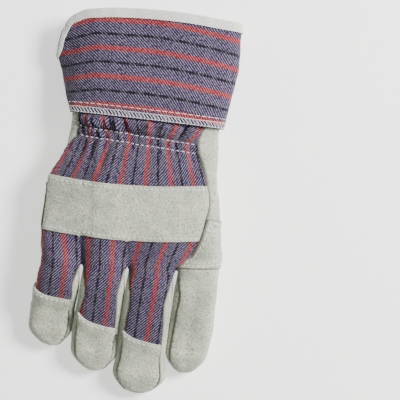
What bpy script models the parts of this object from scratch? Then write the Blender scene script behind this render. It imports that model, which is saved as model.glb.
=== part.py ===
"""Patch palm work glove for the right hand, lying palm down with its thumb folded under.

Metres, +Z up. The fingers point along -Y, the cuff opens along +Y and the thumb side is +X.
The origin is the middle of the underside's box. Every panel is a wall cut from one shared
form: superellipse sections along the hand, the fingers, the thumb and the cuff.
"""
import math

import bmesh
import bpy
import numpy as np

# Materials' thickness and the clearance between neighbouring pieces
LEATHER = 0.0013
CANVAS = 0.0012
BINDING = 0.0009
GAP = 0.0003

# Fingers, from the little finger to the index
FINGER_NAMES = ("pinky", "ring", "middle", "index")
FINGER_WIDTH = {"pinky": 0.0290, "ring": 0.0305, "middle": 0.0330, "index": 0.0295}
FINGER_LENGTH = {"pinky": 0.0585, "ring": 0.0740, "middle": 0.0860, "index": 0.0720}
FINGER_LEAN = {"pinky": -6.9, "ring": -5.8, "middle": -7.3, "index": -6.0}
ROOT_STEP = {"pinky": 0.0, "ring": 0.0020, "middle": 0.0050, "index": 0.0060}
FINGER_THICKNESS = 0.0190
CROTCH_GAP = 0.0012
CROTCH_DEPTH = 0.0012

# Hand
HAND_LENGTH = 0.1100
HAND_THICKNESS = 0.0200
WRIST_OVERLAP = 0.0090
CUFF_TILT = -0.118
HEM_LEVEL = 0.5
STRAP_DEPTH = 0.0385

# Thumb, folded flat under the palm
THUMB_WIDTH = 0.0330
THUMB_LENGTH = 0.0880
THUMB_THICKNESS = 0.0142
THUMB_OPENING = 0.0440
THUMB_LEAN = -34.8
HOLE_INSET = 0.0030

# Cuff
CUFF_LENGTH = 0.0755
CUFF_MOUTH = 0.0280
FLARE_ULNAR = 0.0090
FLARE_RADIAL = 0.0126
CUFF_EASE = 0.0012
BINDING_WIDTH = 0.0058
TAB_WIDTH = 0.0420
TAB_DEPTH = 0.0260
TAB_CORNER = 0.0120

# Shape of the sections, and how far soft leather is pressed flat on the floor
POWER = 2.5
PRESS = 0.0006
TIP_SHARE = 0.56
FOURCHETTE_ANGLE = math.radians(45)
FOURCHETTE_END = 1.8
ROOT_BLEND = 0.28
THUMB_DROP = 0.15
SHARP_ANGLE = math.radians(40)
ROUGHNESS = 0.9

LAYER = GAP + LEATHER
PALM_WIDTH = sum(FINGER_WIDTH.values()) + 3 * CROTCH_GAP
PALM_REST = THUMB_THICKNESS + LAYER + 2 * GAP
ULNAR_SHARE = 0.526

# Hand sections: ulnar and radial are shares of the palm's width, rest is the underside's height
# as a share of the palm's, upper and lower are shares of the hand's thickness
HAND_TABLE = (
    # along, ulnar, radial, rest, upper, lower
    (0.00, 0.345, 0.479, 0.66, 0.575, 0.50),
    (0.10, 0.345, 0.479, 0.70, 0.575, 0.50),
    (0.17, 0.351, 0.475, 0.76, 0.450, 0.46),
    (0.23, 0.363, 0.472, 0.82, 0.450, 0.45),
    (0.34, 0.415, 0.469, 0.94, 0.510, 0.45),
    (0.42, 0.463, 0.465, 1.00, 0.535, 0.45),
    (0.53, 0.478, 0.470, 1.00, 0.540, 0.45),
    (0.68, 0.497, 0.475, 1.00, 0.535, 0.45),
    (0.87, 0.514, 0.475, 1.00, 0.510, 0.45),
    (1.00, 0.526, 0.474, 1.00, 0.480, 0.46),
)

# Edge between the canvas back and the leather of the thumb side, as a share of the palm's width
BACK_EDGE_TABLE = (
    # along, across
    (0.00, 0.400), (0.12, 0.400), (0.22, 0.361), (0.28, 0.362), (0.38, 0.388), (0.50, 0.411),
    (0.64, 0.421), (0.72, 0.400), (0.79, 0.378), (0.86, 0.352), (0.93, 0.312), (1.00, 0.230),
)

# Fingers: width and thickness as shares of their own, drop is the share of the palm's height
FINGER_TABLE = (
    # along, width, thickness, drop
    (0.00, 0.98, 1.00, 1.00),
    (0.25, 1.00, 1.01, 0.86),
    (0.50, 1.01, 1.01, 0.55),
    (0.75, 1.02, 0.99, 0.22),
    (1.00, 1.00, 0.97, 0.00),
)

# Where the canvas ends on each finger's back, as shares of the finger's length
CANVAS_END = {"pinky": (0.25, 0.41), "ring": (0.45, 0.57), "middle": (0.50, 0.58)}

# Knuckle strap's middle line and the palm patch's edges: across is 0 on the ulnar side and 1 on
# the thumb side, the others are shares of the hand's length from the wrist
STRAP_LINE = ((0.00, 0.605), (0.31, 0.655), (0.63, 0.685), (1.00, 0.680))
PATCH_TOP = ((0.00, 0.48), (0.36, 0.50), (0.50, 0.58), (1.00, 0.73))
PATCH_BOTTOM = ((0.00, 0.925), (0.25, 0.955), (0.50, 0.965), (0.75, 0.985), (1.00, 0.995))

# Share of its last step that the patch goes towards the canvas on the back, and how far it stays
# from the thumb, as shares of the thumb's width beside it and above its crotch
PATCH_REACH = 0.85
PATCH_SIDE_CLEAR = 0.30
PATCH_TOP_CLEAR = 0.195

# Cuff sections between its lower edge and its hem
CUFF_TABLE = (
    # along, ulnar, radial, settle
    (0.00, 0.00, 0.00, 0.00),
    (0.20, 0.16, 0.31, 0.16),
    (0.48, 0.40, 0.75, 0.55),
    (0.75, 0.66, 0.97, 0.88),
    (1.00, 1.00, 1.00, 1.00),
)
# The hem's arch: across is -1 on the ulnar side and 1 on the thumb side, reach is a share of
# the cuff's length above its lower edge
HEM_TABLE = (
    # across, reach
    (-1.00, 0.56), (-0.985, 0.62), (-0.95, 0.75), (-0.88, 0.87), (-0.75, 0.945), (-0.50, 0.985),
    (-0.20, 1.000), (0.15, 0.995), (0.50, 0.975), (0.80, 0.945), (1.00, 0.930),
)

# Where the thumb starts, as shares of the palm's width and of the hand's length
THUMB_START = (0.367, 0.345)

HAND_ROWS = np.array((0, .05, .10, .16, .22, .29, .37, .46, .55, .64, .73, .81, .88, .94, 1))
FINGER_ROWS = np.array((0, .07, .22, .38, .54, .70, .86, 1, 1.2, 1.4, 1.6, 1.8, 2))
THUMB_ROWS = np.array((0, .2, .4, .6, .8, 1, 1.08, 1.16, 1.5, 1.75, 2, 2.3, 2.6, 2.8, 3))
CUFF_ROWS = np.array((0, .18, .36, .54, .72, .88, 1))
ARC_COLUMNS = 5
INDEX_COLUMNS = 10
SIDE_COLUMNS = 4
THUMB_COLUMNS = 8
RING_COLUMNS = 36

COLOURS = {
    "leather": (0.56, 0.56, 0.50),
    "canvas": (0.12, 0.12, 0.24),
    "binding": (0.74, 0.76, 0.72),
}


def smooth(value, table, column=1):
    """Cubic curve through one column of a table, read against its first column."""
    keys = np.array([row[0] for row in table])
    heights = np.array([row[column] for row in table])
    slopes = np.gradient(heights, keys)
    at = np.clip(np.searchsorted(keys, value) - 1, 0, len(keys) - 2)
    span = keys[at + 1] - keys[at]
    t = np.clip((value - keys[at]) / span, 0, 1)
    return (heights[at] * (1 + 2 * t) * (1 - t) ** 2 + heights[at + 1] * t * t * (3 - 2 * t)
            + span * slopes[at] * t * (1 - t) ** 2 + span * slopes[at + 1] * t * t * (t - 1))


def ease(value):
    """0 below 0, 1 above 1 and a soft step between."""
    t = np.clip(value, 0, 1)
    return t * t * (3 - 2 * t)


def bowed(part):
    """A sine or cosine made into a superellipse's share of its half axis."""
    return np.sign(part) * np.abs(part) ** (2 / POWER)


def root_place(name):
    """Middle of a finger's root, worked out from the widths before it."""
    x = -ULNAR_SHARE * PALM_WIDTH
    for other in FINGER_NAMES[:FINGER_NAMES.index(name)]:
        x += FINGER_WIDTH[other] + CROTCH_GAP
    return x + FINGER_WIDTH[name] / 2, -ROOT_STEP[name]


def finger_point(name, row, angle, depth, lift=0.0):
    """A finger's surface: row 0 is the root, 1 where the tip rounds, 2 its end."""
    body = np.minimum(row, 1)
    bend = (np.maximum(row, 1) - 1) * math.pi / 2
    closing = bowed(np.cos(bend))
    width, tip = FINGER_WIDTH[name], FINGER_WIDTH[name] * TIP_SHARE
    half_width = width / 2 * smooth(body, FINGER_TABLE, 1)
    half_thick = FINGER_THICKNESS / 2 * smooth(body, FINGER_TABLE, 2)
    side = bowed(np.cos(angle)) * (half_width - depth) * closing
    along = (FINGER_LENGTH[name] - tip) * body + (tip - depth) * bowed(np.sin(bend))
    lean = math.radians(FINGER_LEAN[name])
    root_x, root_y = root_place(name)
    middle = PALM_REST * smooth(body, FINGER_TABLE, 3) + half_thick - PRESS
    x = root_x + along * math.sin(lean) + side * math.cos(lean)
    y = root_y - along * math.cos(lean) + side * math.sin(lean)
    z = middle + bowed(np.sin(angle)) * (half_thick - depth) * closing + lift
    return np.stack(np.broadcast_arrays(x, y, np.maximum(z, depth)), axis=-1)


def side_angle(row):
    """Half angle that a fourchette covers, running to a point near the fingertip."""
    share = np.clip((row - 1) / (FOURCHETTE_END - 1), 0, 1)
    return FOURCHETTE_ANGLE * (1 - share ** 2)


def crotch_point(left, right, angle, depth, lift=0.0):
    """The web between two fingers, at an angle measured on the left one's radial side."""
    near = finger_point(left, 0.0, angle, depth, lift)
    far = finger_point(right, 0.0, math.pi - angle, depth, lift)
    return (near + far) / 2 + np.array((0, CROTCH_DEPTH + depth, 0))


def hand_along(y):
    """Share of the hand's length from its wrist end at a height y."""
    return (HAND_LENGTH - y) / HAND_LENGTH


def hand_section(y):
    """Middle, half width, seam height, upper and lower bulge of the hand at y."""
    along = hand_along(y)
    ulnar = -PALM_WIDTH * smooth(along, HAND_TABLE, 1)
    radial = PALM_WIDTH * smooth(along, HAND_TABLE, 2)
    upper = HAND_THICKNESS * smooth(along, HAND_TABLE, 4)
    lower = HAND_THICKNESS * smooth(along, HAND_TABLE, 5)
    seam = PALM_REST * smooth(along, HAND_TABLE, 3) + lower
    return (ulnar + radial) / 2, (radial - ulnar) / 2, seam, upper, lower


def angle_at(x, middle, half_width):
    """Angle on a superellipse's upper half whose point lies at x."""
    share = np.clip((x - middle) / half_width, -1, 1)
    return np.arccos(np.sign(share) * np.abs(share) ** (POWER / 2))


def palm_angles(y):
    """Angles of the ulnar seam, the three crotches and the back's leather edge at y."""
    middle, half_width = hand_section(y)[:2]
    marks = [np.full_like(y, math.pi)]
    for left, right in zip(FINGER_NAMES, FINGER_NAMES[1:]):
        x = crotch_point(left, right, 0.0, 0.0)[0]
        marks.append(angle_at(x, middle, half_width))
    edge = PALM_WIDTH * smooth(hand_along(y), BACK_EDGE_TABLE)
    return marks, angle_at(edge, middle, half_width)


def back_columns():
    """Columns of the canvas back: finger, share across it, and whether it is a crotch."""
    names = FINGER_NAMES[:3]
    return [(name, i / ARC_COLUMNS) for name in names for i in range(ARC_COLUMNS)] + [("middle", 1.0)]


def palm_columns():
    """Columns of the palm leather, which goes on round the index and onto the back."""
    names = FINGER_NAMES[:3]
    columns = [(name, i / ARC_COLUMNS) for name in names for i in range(ARC_COLUMNS)]
    return columns + [("index", i / INDEX_COLUMNS) for i in range(INDEX_COLUMNS + 1)]


def finger_edges(name, row, under):
    """First and last angle of a finger's upper panel, or of its under panel."""
    open_angle = side_angle(row)
    if name == "index":
        return open_angle - math.pi, math.pi - open_angle
    first = math.pi - (0 if name == "pinky" else open_angle)
    return (-first, -open_angle) if under else (first, open_angle)


def seam_lift(angle, under):
    """Gap that parts the upper and the under panels from the fourchettes between them."""
    return GAP * np.clip(angle / FOURCHETTE_ANGLE, -1, 1) if under else GAP + 0 * angle


def root_point(name, share, depth, under):
    """Where a column of the hand's last row meets the fingers."""
    order = FINGER_NAMES.index(name)
    sign = -1 if under else 1
    if share == 0 and order > 0:
        left = FINGER_NAMES[order - 1]
        return crotch_point(left, name, sign * FOURCHETTE_ANGLE, depth, sign * GAP)
    if share == 1:
        left, right = ("middle", "index")
        return crotch_point(left, right, FOURCHETTE_ANGLE, depth, GAP)
    first, last = finger_edges(name, 0.0, under)
    angle = first + (last - first) * share
    return finger_point(name, 0.0, angle, depth, seam_lift(angle, under))


def wrist_end(x):
    """Height of the hand's wrist end, which runs parallel to the cuff's lower edge."""
    return HAND_LENGTH + CUFF_TILT * x


def hand_grid(columns, depth, under):
    """The hand's surface, rows from the wrist to the fingers' roots, one column a list."""
    grid = np.zeros((len(HAND_ROWS), len(columns), 3))
    for j, (name, share) in enumerate(columns):
        root = root_point(name, share, depth, under)
        order = FINGER_NAMES.index(name)
        y = wrist_end(root[0]) + (root[1] - wrist_end(root[0])) * HAND_ROWS
        marks, edge = palm_angles(y)
        marks = [-mark for mark in marks] if under else marks
        marks = marks[:4] + [edge] if under else marks[:3] + [edge]
        angle = marks[order] + (marks[order + 1] - marks[order]) * share
        middle, half_width, seam, upper, lower = hand_section(y)
        bulge = np.where(angle > 0, upper, lower) - depth
        x = middle + bowed(np.cos(angle)) * (half_width - depth)
        z = seam + bowed(np.sin(angle)) * bulge + seam_lift(angle, under)
        blend = ease((HAND_ROWS - 1) / ROOT_BLEND + 1)
        grid[:, j, 0] = x + (root[0] - x) * blend
        grid[:, j, 1] = y
        grid[:, j, 2] = z + (root[2] - z) * blend
    grid[:, -1, 0] += GAP if under else -GAP
    return grid


def finger_grid(name, depth, under):
    """A finger's panel, its first row shared with the hand."""
    count = INDEX_COLUMNS if name == "index" else ARC_COLUMNS
    share = np.linspace(0, 1, count + 1)
    row = FINGER_ROWS[:, None]
    first, last = finger_edges(name, row, under)
    angle = first + (last - first) * share[None, :]
    return finger_point(name, row, angle, depth, seam_lift(angle, under))


def clipped(rows, grid, low, high):
    """A grid cut to rows between low and high in each column, still on the same facets."""
    result = np.empty_like(grid)
    for j in range(grid.shape[1]):
        wanted = np.clip(rows, low[j], high[j])
        for axis in range(3):
            result[:, j, axis] = np.interp(wanted, rows, grid[:, j, axis])
    return result


class Wall:
    """A closed wall built from patches of outer points and the inner points under them."""

    def __init__(self):
        self.outer, self.inner, self.keys, self.faces = [], [], {}, []

    def vertex(self, outer, inner):
        key = tuple(np.round(outer * 1e6).astype(int))
        if key not in self.keys:
            self.keys[key] = len(self.outer)
            self.outer.append(tuple(outer))
            self.inner.append(tuple(inner))
        return self.keys[key]

    def patch(self, outer, inner, flip=False):
        """Adds a grid of quads; a repeated point makes a triangle or nothing."""
        index = [[self.vertex(outer[i, j], inner[i, j]) for j in range(outer.shape[1])]
                 for i in range(outer.shape[0])]
        for upper, lower in zip(index, index[1:]):
            for j in range(len(upper) - 1):
                ring = [upper[j], lower[j], lower[j + 1], upper[j + 1]]
                ring = [v for k, v in enumerate(ring) if v != ring[k - 1]]
                if len(set(ring)) == len(ring) and len(ring) > 2:
                    self.faces.append(ring[::-1] if flip else ring)

    def build(self, name, material):
        """Outer faces, inner faces turned round, and a rim along every open edge."""
        count = len(self.outer)
        edges = {}
        for face in self.faces:
            for a, b in zip(face, face[1:] + face[:1]):
                edges[(a, b)] = True
        faces = list(self.faces)
        faces += [[v + count for v in reversed(face)] for face in self.faces]
        faces += [[b, a, a + count, b + count] for a, b in edges if (b, a) not in edges]
        return add_mesh(name, self.outer + self.inner, faces, material)


def add_mesh(name, points, faces, material):
    """Makes a named object from points and faces in the glove's collection."""
    mesh = bpy.data.meshes.new(name)
    mesh.from_pydata([tuple(map(float, point)) for point in points], [], faces)
    work = bmesh.new()
    work.from_mesh(mesh)
    bmesh.ops.triangulate(work, faces=work.faces[:])
    bmesh.ops.recalc_face_normals(work, faces=work.faces[:])
    work.to_mesh(mesh)
    work.free()
    mesh.materials.append(material)
    made = bpy.data.objects.new(name, mesh)
    glove.objects.link(made)
    mesh.shade_smooth()
    mesh.set_sharp_from_angle(angle=SHARP_ANGLE)
    return made


def make_material(name, colour):
    """Plain cloth or leather of one colour."""
    material = bpy.data.materials.new(name)
    material.use_nodes = True
    shader = material.node_tree.nodes["Principled BSDF"]
    shader.inputs["Base Color"].default_value = (*colour, 1)
    shader.inputs["Roughness"].default_value = ROUGHNESS
    shader.inputs["Metallic"].default_value = 0.0
    return material


def canvas_end_rows(name):
    """Finger rows where the canvas stops, across the finger's back."""
    body = FINGER_LENGTH[name] - FINGER_WIDTH[name] * TIP_SHARE
    start, stop = CANVAS_END[name]
    share = np.linspace(0, 1, ARC_COLUMNS + 1)
    return (start + (stop - start) * share ** 1.5) * FINGER_LENGTH[name] / body


def with_root(hand, finger, name, columns):
    """A finger's grid with its first row taken from the hand's last."""
    first = [column[0] for column in columns].index(name)
    finger = finger.copy()
    finger[0] = hand[-1, first:first + finger.shape[1]]
    return finger


def make_back():
    """Striped canvas over the back of the hand and of three fingers, parted under the strap."""
    columns = back_columns()
    outer, inner = (hand_grid(columns, depth, False) for depth in (0, CANVAS))
    line = edge_line(STRAP_LINE, outer)
    part_top, part_bottom = (rows_at(outer, HAND_ROWS, line + rise) for rise in (GAP / 2, -GAP / 2))
    wall = Wall()
    wall.patch(*(clipped(HAND_ROWS, grid, 0 * line, part_top) for grid in (outer, inner)))
    wall.build("back_panel", canvas)
    wall = Wall()
    wall.patch(*(clipped(HAND_ROWS, grid, part_bottom, 0 * line + 1) for grid in (outer, inner)))
    for name in CANVAS_END:
        grids = [with_root(hand, finger_grid(name, depth, False), name, columns)
                 for hand, depth in ((outer, 0), (inner, CANVAS))]
        ends = canvas_end_rows(name)
        wall.patch(*(clipped(FINGER_ROWS, grid, 0 * ends, ends) for grid in grids))
    wall.build("finger_backs", canvas)


def make_tips():
    """Leather caps over the backs of the fingertips."""
    for name in CANVAS_END:
        wall, ends = Wall(), canvas_end_rows(name)
        body = FINGER_LENGTH[name] - FINGER_WIDTH[name] * TIP_SHARE
        start = ends + GAP / body
        grids = [finger_grid(name, depth, False) for depth in (0, LEATHER)]
        wall.patch(*(clipped(FINGER_ROWS, grid, start, 0 * ends + 2) for grid in grids))
        wall.build(name + "_tip", leather)


def make_palm_panel():
    """Leather of the palm, wrapped round the thumb side onto the back, with the thumb's hole."""
    wall = Wall()
    wall.patch(*(hand_grid(palm_columns(), depth, True) for depth in (0, LEATHER)))
    palm = wall.build("palm_panel", leather)
    cut = palm.modifiers.new("thumb_hole", "BOOLEAN")
    cut.operation = "DIFFERENCE"
    cut.solver = "EXACT"
    cut.object = make_hole_cutter()


def make_finger_fronts():
    """Leather fronts of the fingers, sewn on at their roots; the index is leather all round."""
    for name in FINGER_NAMES:
        grids = [finger_grid(name, depth, True) for depth in (0, LEATHER)]
        start = np.full(grids[0].shape[1], GAP / (FINGER_LENGTH[name] - FINGER_WIDTH[name] * TIP_SHARE))
        wall = Wall()
        wall.patch(*(clipped(FINGER_ROWS, grid, start, 0 * start + 2) for grid in grids))
        wall.build("index_finger" if name == "index" else name + "_front", leather)


def make_fourchette(left, right):
    """Side strip from one fingertip through the crotch to the next fingertip."""
    share = np.linspace(1, -1, SIDE_COLUMNS + 1)[None, :]
    rows = FINGER_ROWS[1:-1, None]
    grids = []
    for depth in (0, LEATHER):
        near = finger_point(left, rows, side_angle(rows) * share, depth)
        web = crotch_point(left, right, FOURCHETTE_ANGLE * share, depth)
        far = finger_point(right, rows, math.pi - side_angle(rows) * share, depth)
        grids.append(np.concatenate((near[::-1], web, far)))
    wall = Wall()
    wall.patch(*grids)
    return wall.build(f"fourchette_{left}_{right}", leather)


def rows_at(grid, rows, y):
    """Rows at which each column of a hand grid passes the heights y."""
    return np.array([np.interp(-y[j], -grid[:, j, 1], rows) for j in range(grid.shape[1])])


def edge_line(table, grid):
    """Heights of an edge drawn in shares across and along the hand, one a column."""
    across = grid[len(HAND_ROWS) // 2, :, 0] / PALM_WIDTH + ULNAR_SHARE
    return HAND_LENGTH * (1 - smooth(across, table))


def make_knuckle_strap():
    """Leather band over the canvas, from the ulnar seam to the thumb side's leather."""
    columns = back_columns()
    base = hand_grid(columns, 0, False)
    line = edge_line(STRAP_LINE, base)
    top = rows_at(base, HAND_ROWS, line + STRAP_DEPTH / 2)
    bottom = rows_at(base, HAND_ROWS, line - STRAP_DEPTH / 2)
    wall = Wall()
    wall.patch(*(clipped(HAND_ROWS, hand_grid(columns, depth, False), top, bottom)
                 for depth in (-LAYER, -GAP)))
    return wall.build("knuckle_strap", leather)


def patch_grid(depth):
    """The palm's grid at a depth, with its last column drawn back from the canvas edge."""
    grid = hand_grid(palm_columns(), depth, True)
    grid[:, -1] = grid[:, -2] + PATCH_REACH * (grid[:, -1] - grid[:, -2])
    return grid


def make_palm_patch():
    """Second leather across the palm, wrapped round the thumb side onto the back."""
    base = patch_grid(0)
    top_line = edge_line(PATCH_TOP, base)
    corners = thumb_point(1.0, np.array((0.0, -math.pi)), 0.0)
    (right_x, right_y), (left_x, left_y) = corners[:, :2]
    x = base[len(HAND_ROWS) // 2, :, 0]
    clear = PATCH_SIDE_CLEAR * THUMB_WIDTH
    thumb_line = np.interp(x, (left_x, right_x, right_x + clear), (left_y, right_y, right_y + clear))
    beside_thumb = (x > left_x - clear) & (x < right_x + clear)
    thumb_line = thumb_line - PATCH_TOP_CLEAR * THUMB_WIDTH
    top_line = np.where(beside_thumb, np.minimum(top_line, thumb_line), top_line)
    top = rows_at(base, HAND_ROWS, top_line)
    bottom = rows_at(base, HAND_ROWS, edge_line(PATCH_BOTTOM, base))
    wall = Wall()
    wall.patch(*(clipped(HAND_ROWS, patch_grid(depth), top, bottom) for depth in (-LAYER, -GAP)))
    return wall.build("palm_patch", leather)


def palm_underside(x, y):
    """Height just under the palm leather."""
    middle, half_width, seam, _, lower = hand_section(y)
    share = np.clip(np.abs((x - middle) / half_width), 0, 1)
    return seam - lower * (1 - share ** POWER) ** (1 / POWER) - 2 * GAP


def thumb_point(row, angle, depth):
    """The thumb's surface: row 0 is the root end of its hood, 1 the crotch, 3 the tip."""
    hood = np.clip(row, 0, 1) * math.pi / 2
    body = np.clip(row, 1, 2) - 1
    bend = (np.clip(row, 2, 3) - 2) * math.pi / 2
    tip = THUMB_WIDTH * TIP_SHARE
    closing = np.sin(hood) * bowed(np.cos(bend))
    along = (THUMB_OPENING - (THUMB_OPENING - depth) * np.cos(hood)
             + (THUMB_LENGTH - THUMB_OPENING - tip) * body + (tip - depth) * bowed(np.sin(bend)))
    side = bowed(np.cos(angle)) * (THUMB_WIDTH / 2 - depth) * closing
    lean = math.radians(THUMB_LEAN)
    x = THUMB_START[0] * PALM_WIDTH + along * math.sin(lean) + side * math.cos(lean)
    y = HAND_LENGTH * (1 - THUMB_START[1]) - along * math.cos(lean) + side * math.sin(lean)
    height = bowed(np.sin(angle))
    root = palm_underside(x, y)
    at_root = root + np.where(height > 0, -depth, root + PRESS - depth) * height * closing
    half = THUMB_THICKNESS / 2
    tube = half + (half + np.where(height > 0, 0, PRESS) - depth) * height * closing
    z = at_root + (tube - at_root) * ease(body / THUMB_DROP)
    return np.stack(np.broadcast_arrays(x, y, np.maximum(z, depth)), axis=-1)


def make_thumb():
    """Leather thumb: a hood over the palm's hole that runs on as a closed flat tube."""
    under = np.linspace(-math.pi, 0, THUMB_COLUMNS + 1)[None, :]
    above = np.linspace(0, math.pi, THUMB_COLUMNS + 1)[None, :]
    rows = THUMB_ROWS[:, None]
    tube = rows[THUMB_ROWS >= 1]
    wall = Wall()
    wall.patch(thumb_point(rows, under, 0), thumb_point(rows, under, LEATHER))
    wall.patch(thumb_point(tube, above, 0), thumb_point(tube, above, LEATHER))
    return wall.build("thumb", leather)


def make_hole_cutter():
    """Prism that opens the palm into the thumb's hood."""
    rows = np.linspace(0, 1, 9)
    left = thumb_point(rows, np.full(9, -math.pi), HOLE_INSET)
    right = thumb_point(rows, np.zeros(9), HOLE_INSET)
    ring = np.concatenate((left, right[:0:-1]))[:, :2]
    low, high = PALM_REST / 2, PALM_REST + HAND_THICKNESS / 2
    points = [(*place, low) for place in ring] + [(*place, high) for place in ring]
    count = len(ring)
    faces = [list(range(count)), list(range(2 * count - 1, count - 1, -1))]
    faces += [[i, i + count, (i + 1) % count + count, (i + 1) % count] for i in range(count)]
    cutter = add_mesh("thumb_hole_cutter", points, faces, leather)
    glove.objects.unlink(cutter)
    cutters.objects.link(cutter)
    cutter.hide_render = True
    cutter.display_type = "WIRE"
    return cutter


def cuff_point(row, angle, depth):
    """The cuff's surface: row 0 is its lower edge over the wrist, 1 its hem."""
    middle, half_width, seam, upper, lower = hand_section(HAND_LENGTH - WRIST_OVERLAP + 0 * row)
    fit = CANVAS + CUFF_EASE
    ulnar = middle - half_width - fit - FLARE_ULNAR * smooth(row, CUFF_TABLE, 1)
    radial = middle + half_width + fit + FLARE_RADIAL * smooth(row, CUFF_TABLE, 2)
    settle = smooth(row, CUFF_TABLE, 3)
    top = (seam + upper + fit) * (1 - settle) + CUFF_MOUTH * settle
    floor = GAP + BINDING
    bottom = (seam - lower - fit) * (1 - settle) + (floor - PRESS) * settle
    edge = seam * (1 - settle) + CUFF_MOUTH / 2 * settle
    share = bowed(np.cos(angle))
    height = bowed(np.sin(angle))
    x = (ulnar + radial) / 2 + share * ((radial - ulnar) / 2 - depth)
    z = edge + height * (np.where(height > 0, top - edge, edge - bottom) - depth)
    start = wrist_end(x) - WRIST_OVERLAP
    y = start + (CUFF_LENGTH * smooth(share, HEM_TABLE) - CUFF_TILT * HEM_LEVEL * x) * row
    return np.stack(np.broadcast_arrays(x, y, np.maximum(z, floor + depth)), axis=-1)


def ring_angles():
    """Angles of the cuff's columns, all the way round."""
    return np.linspace(-math.pi, math.pi, RING_COLUMNS + 1)[None, :]


def make_cuff_shell():
    """Flared canvas cuff, open at both ends, over the wrist."""
    wall, rows, angles = Wall(), CUFF_ROWS[:, None], ring_angles()
    wall.patch(cuff_point(rows, angles, 0), cuff_point(rows, angles, CANVAS), flip=True)
    return wall.build("cuff_shell", canvas)


def make_cuff_binding():
    """Folded white binding, a U over the cuff's hem."""
    thick, slack = BINDING, 2 * GAP
    section = (
        (-GAP - thick, -BINDING_WIDTH), (-GAP - thick, slack + thick),
        (CANVAS + GAP + thick, slack + thick), (CANVAS + GAP + thick, -BINDING_WIDTH),
        (CANVAS + GAP, -BINDING_WIDTH), (CANVAS + GAP, slack), (-GAP, slack), (-GAP, -BINDING_WIDTH),
    )
    angles = ring_angles()[:, :-1]
    points, count = [], angles.shape[1]
    for depth, rise in section:
        points += list(cuff_point(np.array([[1 + rise / CUFF_LENGTH]]), angles, depth)[0])
    faces = []
    for i in range(len(section)):
        for j in range(count):
            a, b = i * count, (i + 1) % len(section) * count
            faces.append([a + j, a + (j + 1) % count, b + (j + 1) % count, b + j])
    return add_mesh("cuff_binding", points, faces, binding)


def make_pulse_patch():
    """Rounded leather tab on the cuff's palm side, over the pulse."""
    angles = ring_angles()[0]
    columns = np.linspace(-1, 1, 9) * TAB_WIDTH / 2
    base = cuff_point(CUFF_ROWS[:, None], angles[None, :], 0)
    lower = [j for j in range(len(angles)) if angles[j] <= 0]
    middle = float(np.mean([base[0, j, 0] for j in (lower[0], lower[-1])]))
    corner = TAB_CORNER - np.clip(TAB_WIDTH / 2 - np.abs(columns), 0, TAB_CORNER)
    height = TAB_DEPTH - TAB_CORNER + np.sqrt(np.maximum(TAB_CORNER ** 2 - corner ** 2, 0))
    grids = []
    for depth in (-LAYER, -GAP):
        facets = cuff_point(CUFF_ROWS[:, None], angles[None, lower], depth)
        grid = np.stack([np.stack([np.interp(middle + columns, row[:, 0], row[:, axis])
                                   for axis in range(3)], axis=-1) for row in facets])
        reach = grid[-1, :, 1] - grid[0, :, 1]
        grids.append(clipped(CUFF_ROWS, grid, 0 * columns, height / reach))
    wall = Wall()
    wall.patch(*grids)
    return wall.build("pulse_patch", leather)


def settle_on_origin():
    """Moves the glove so that the origin is the middle of its underside."""
    points = np.concatenate([np.array([v.co for v in piece.data.vertices]) for piece in glove.objects])
    low, high = points.min(axis=0), points.max(axis=0)
    shift = np.array(((low[0] + high[0]) / 2, (low[1] + high[1]) / 2, low[2]))
    for piece in list(glove.objects) + list(cutters.objects):
        for vertex in piece.data.vertices:
            vertex.co -= type(vertex.co)(shift)


for leftover in list(bpy.data.objects):
    bpy.data.objects.remove(leftover, do_unlink=True)
glove = bpy.data.collections.new("patch_palm_glove")
cutters = bpy.data.collections.new("cutters")
for group in (glove, cutters):
    bpy.context.scene.collection.children.link(group)
leather = make_material("leather", COLOURS["leather"])
canvas = make_material("canvas", COLOURS["canvas"])
binding = make_material("binding", COLOURS["binding"])

make_back()
make_tips()
make_palm_panel()
make_finger_fronts()
for neighbours in zip(FINGER_NAMES, FINGER_NAMES[1:]):
    make_fourchette(*neighbours)
make_knuckle_strap()
make_palm_patch()
make_thumb()
make_cuff_shell()
make_cuff_binding()
make_pulse_patch()
settle_on_origin()
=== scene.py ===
import math

import bmesh
import bpy
import numpy as np
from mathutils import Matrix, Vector


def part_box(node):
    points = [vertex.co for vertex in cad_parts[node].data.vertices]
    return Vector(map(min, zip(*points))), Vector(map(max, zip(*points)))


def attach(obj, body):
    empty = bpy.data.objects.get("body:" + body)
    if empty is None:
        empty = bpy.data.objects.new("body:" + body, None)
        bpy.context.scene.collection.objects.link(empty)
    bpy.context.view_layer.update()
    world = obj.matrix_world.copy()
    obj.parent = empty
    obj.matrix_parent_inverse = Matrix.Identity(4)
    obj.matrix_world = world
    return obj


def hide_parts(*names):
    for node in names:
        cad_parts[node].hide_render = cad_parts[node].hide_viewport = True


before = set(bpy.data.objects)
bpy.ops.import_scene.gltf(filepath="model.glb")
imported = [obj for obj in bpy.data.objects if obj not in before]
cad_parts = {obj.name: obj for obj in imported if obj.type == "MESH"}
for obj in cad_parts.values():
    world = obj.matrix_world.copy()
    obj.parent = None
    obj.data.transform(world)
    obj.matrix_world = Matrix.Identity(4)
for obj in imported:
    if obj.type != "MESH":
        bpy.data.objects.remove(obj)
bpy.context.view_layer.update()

pi = math.pi

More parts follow.
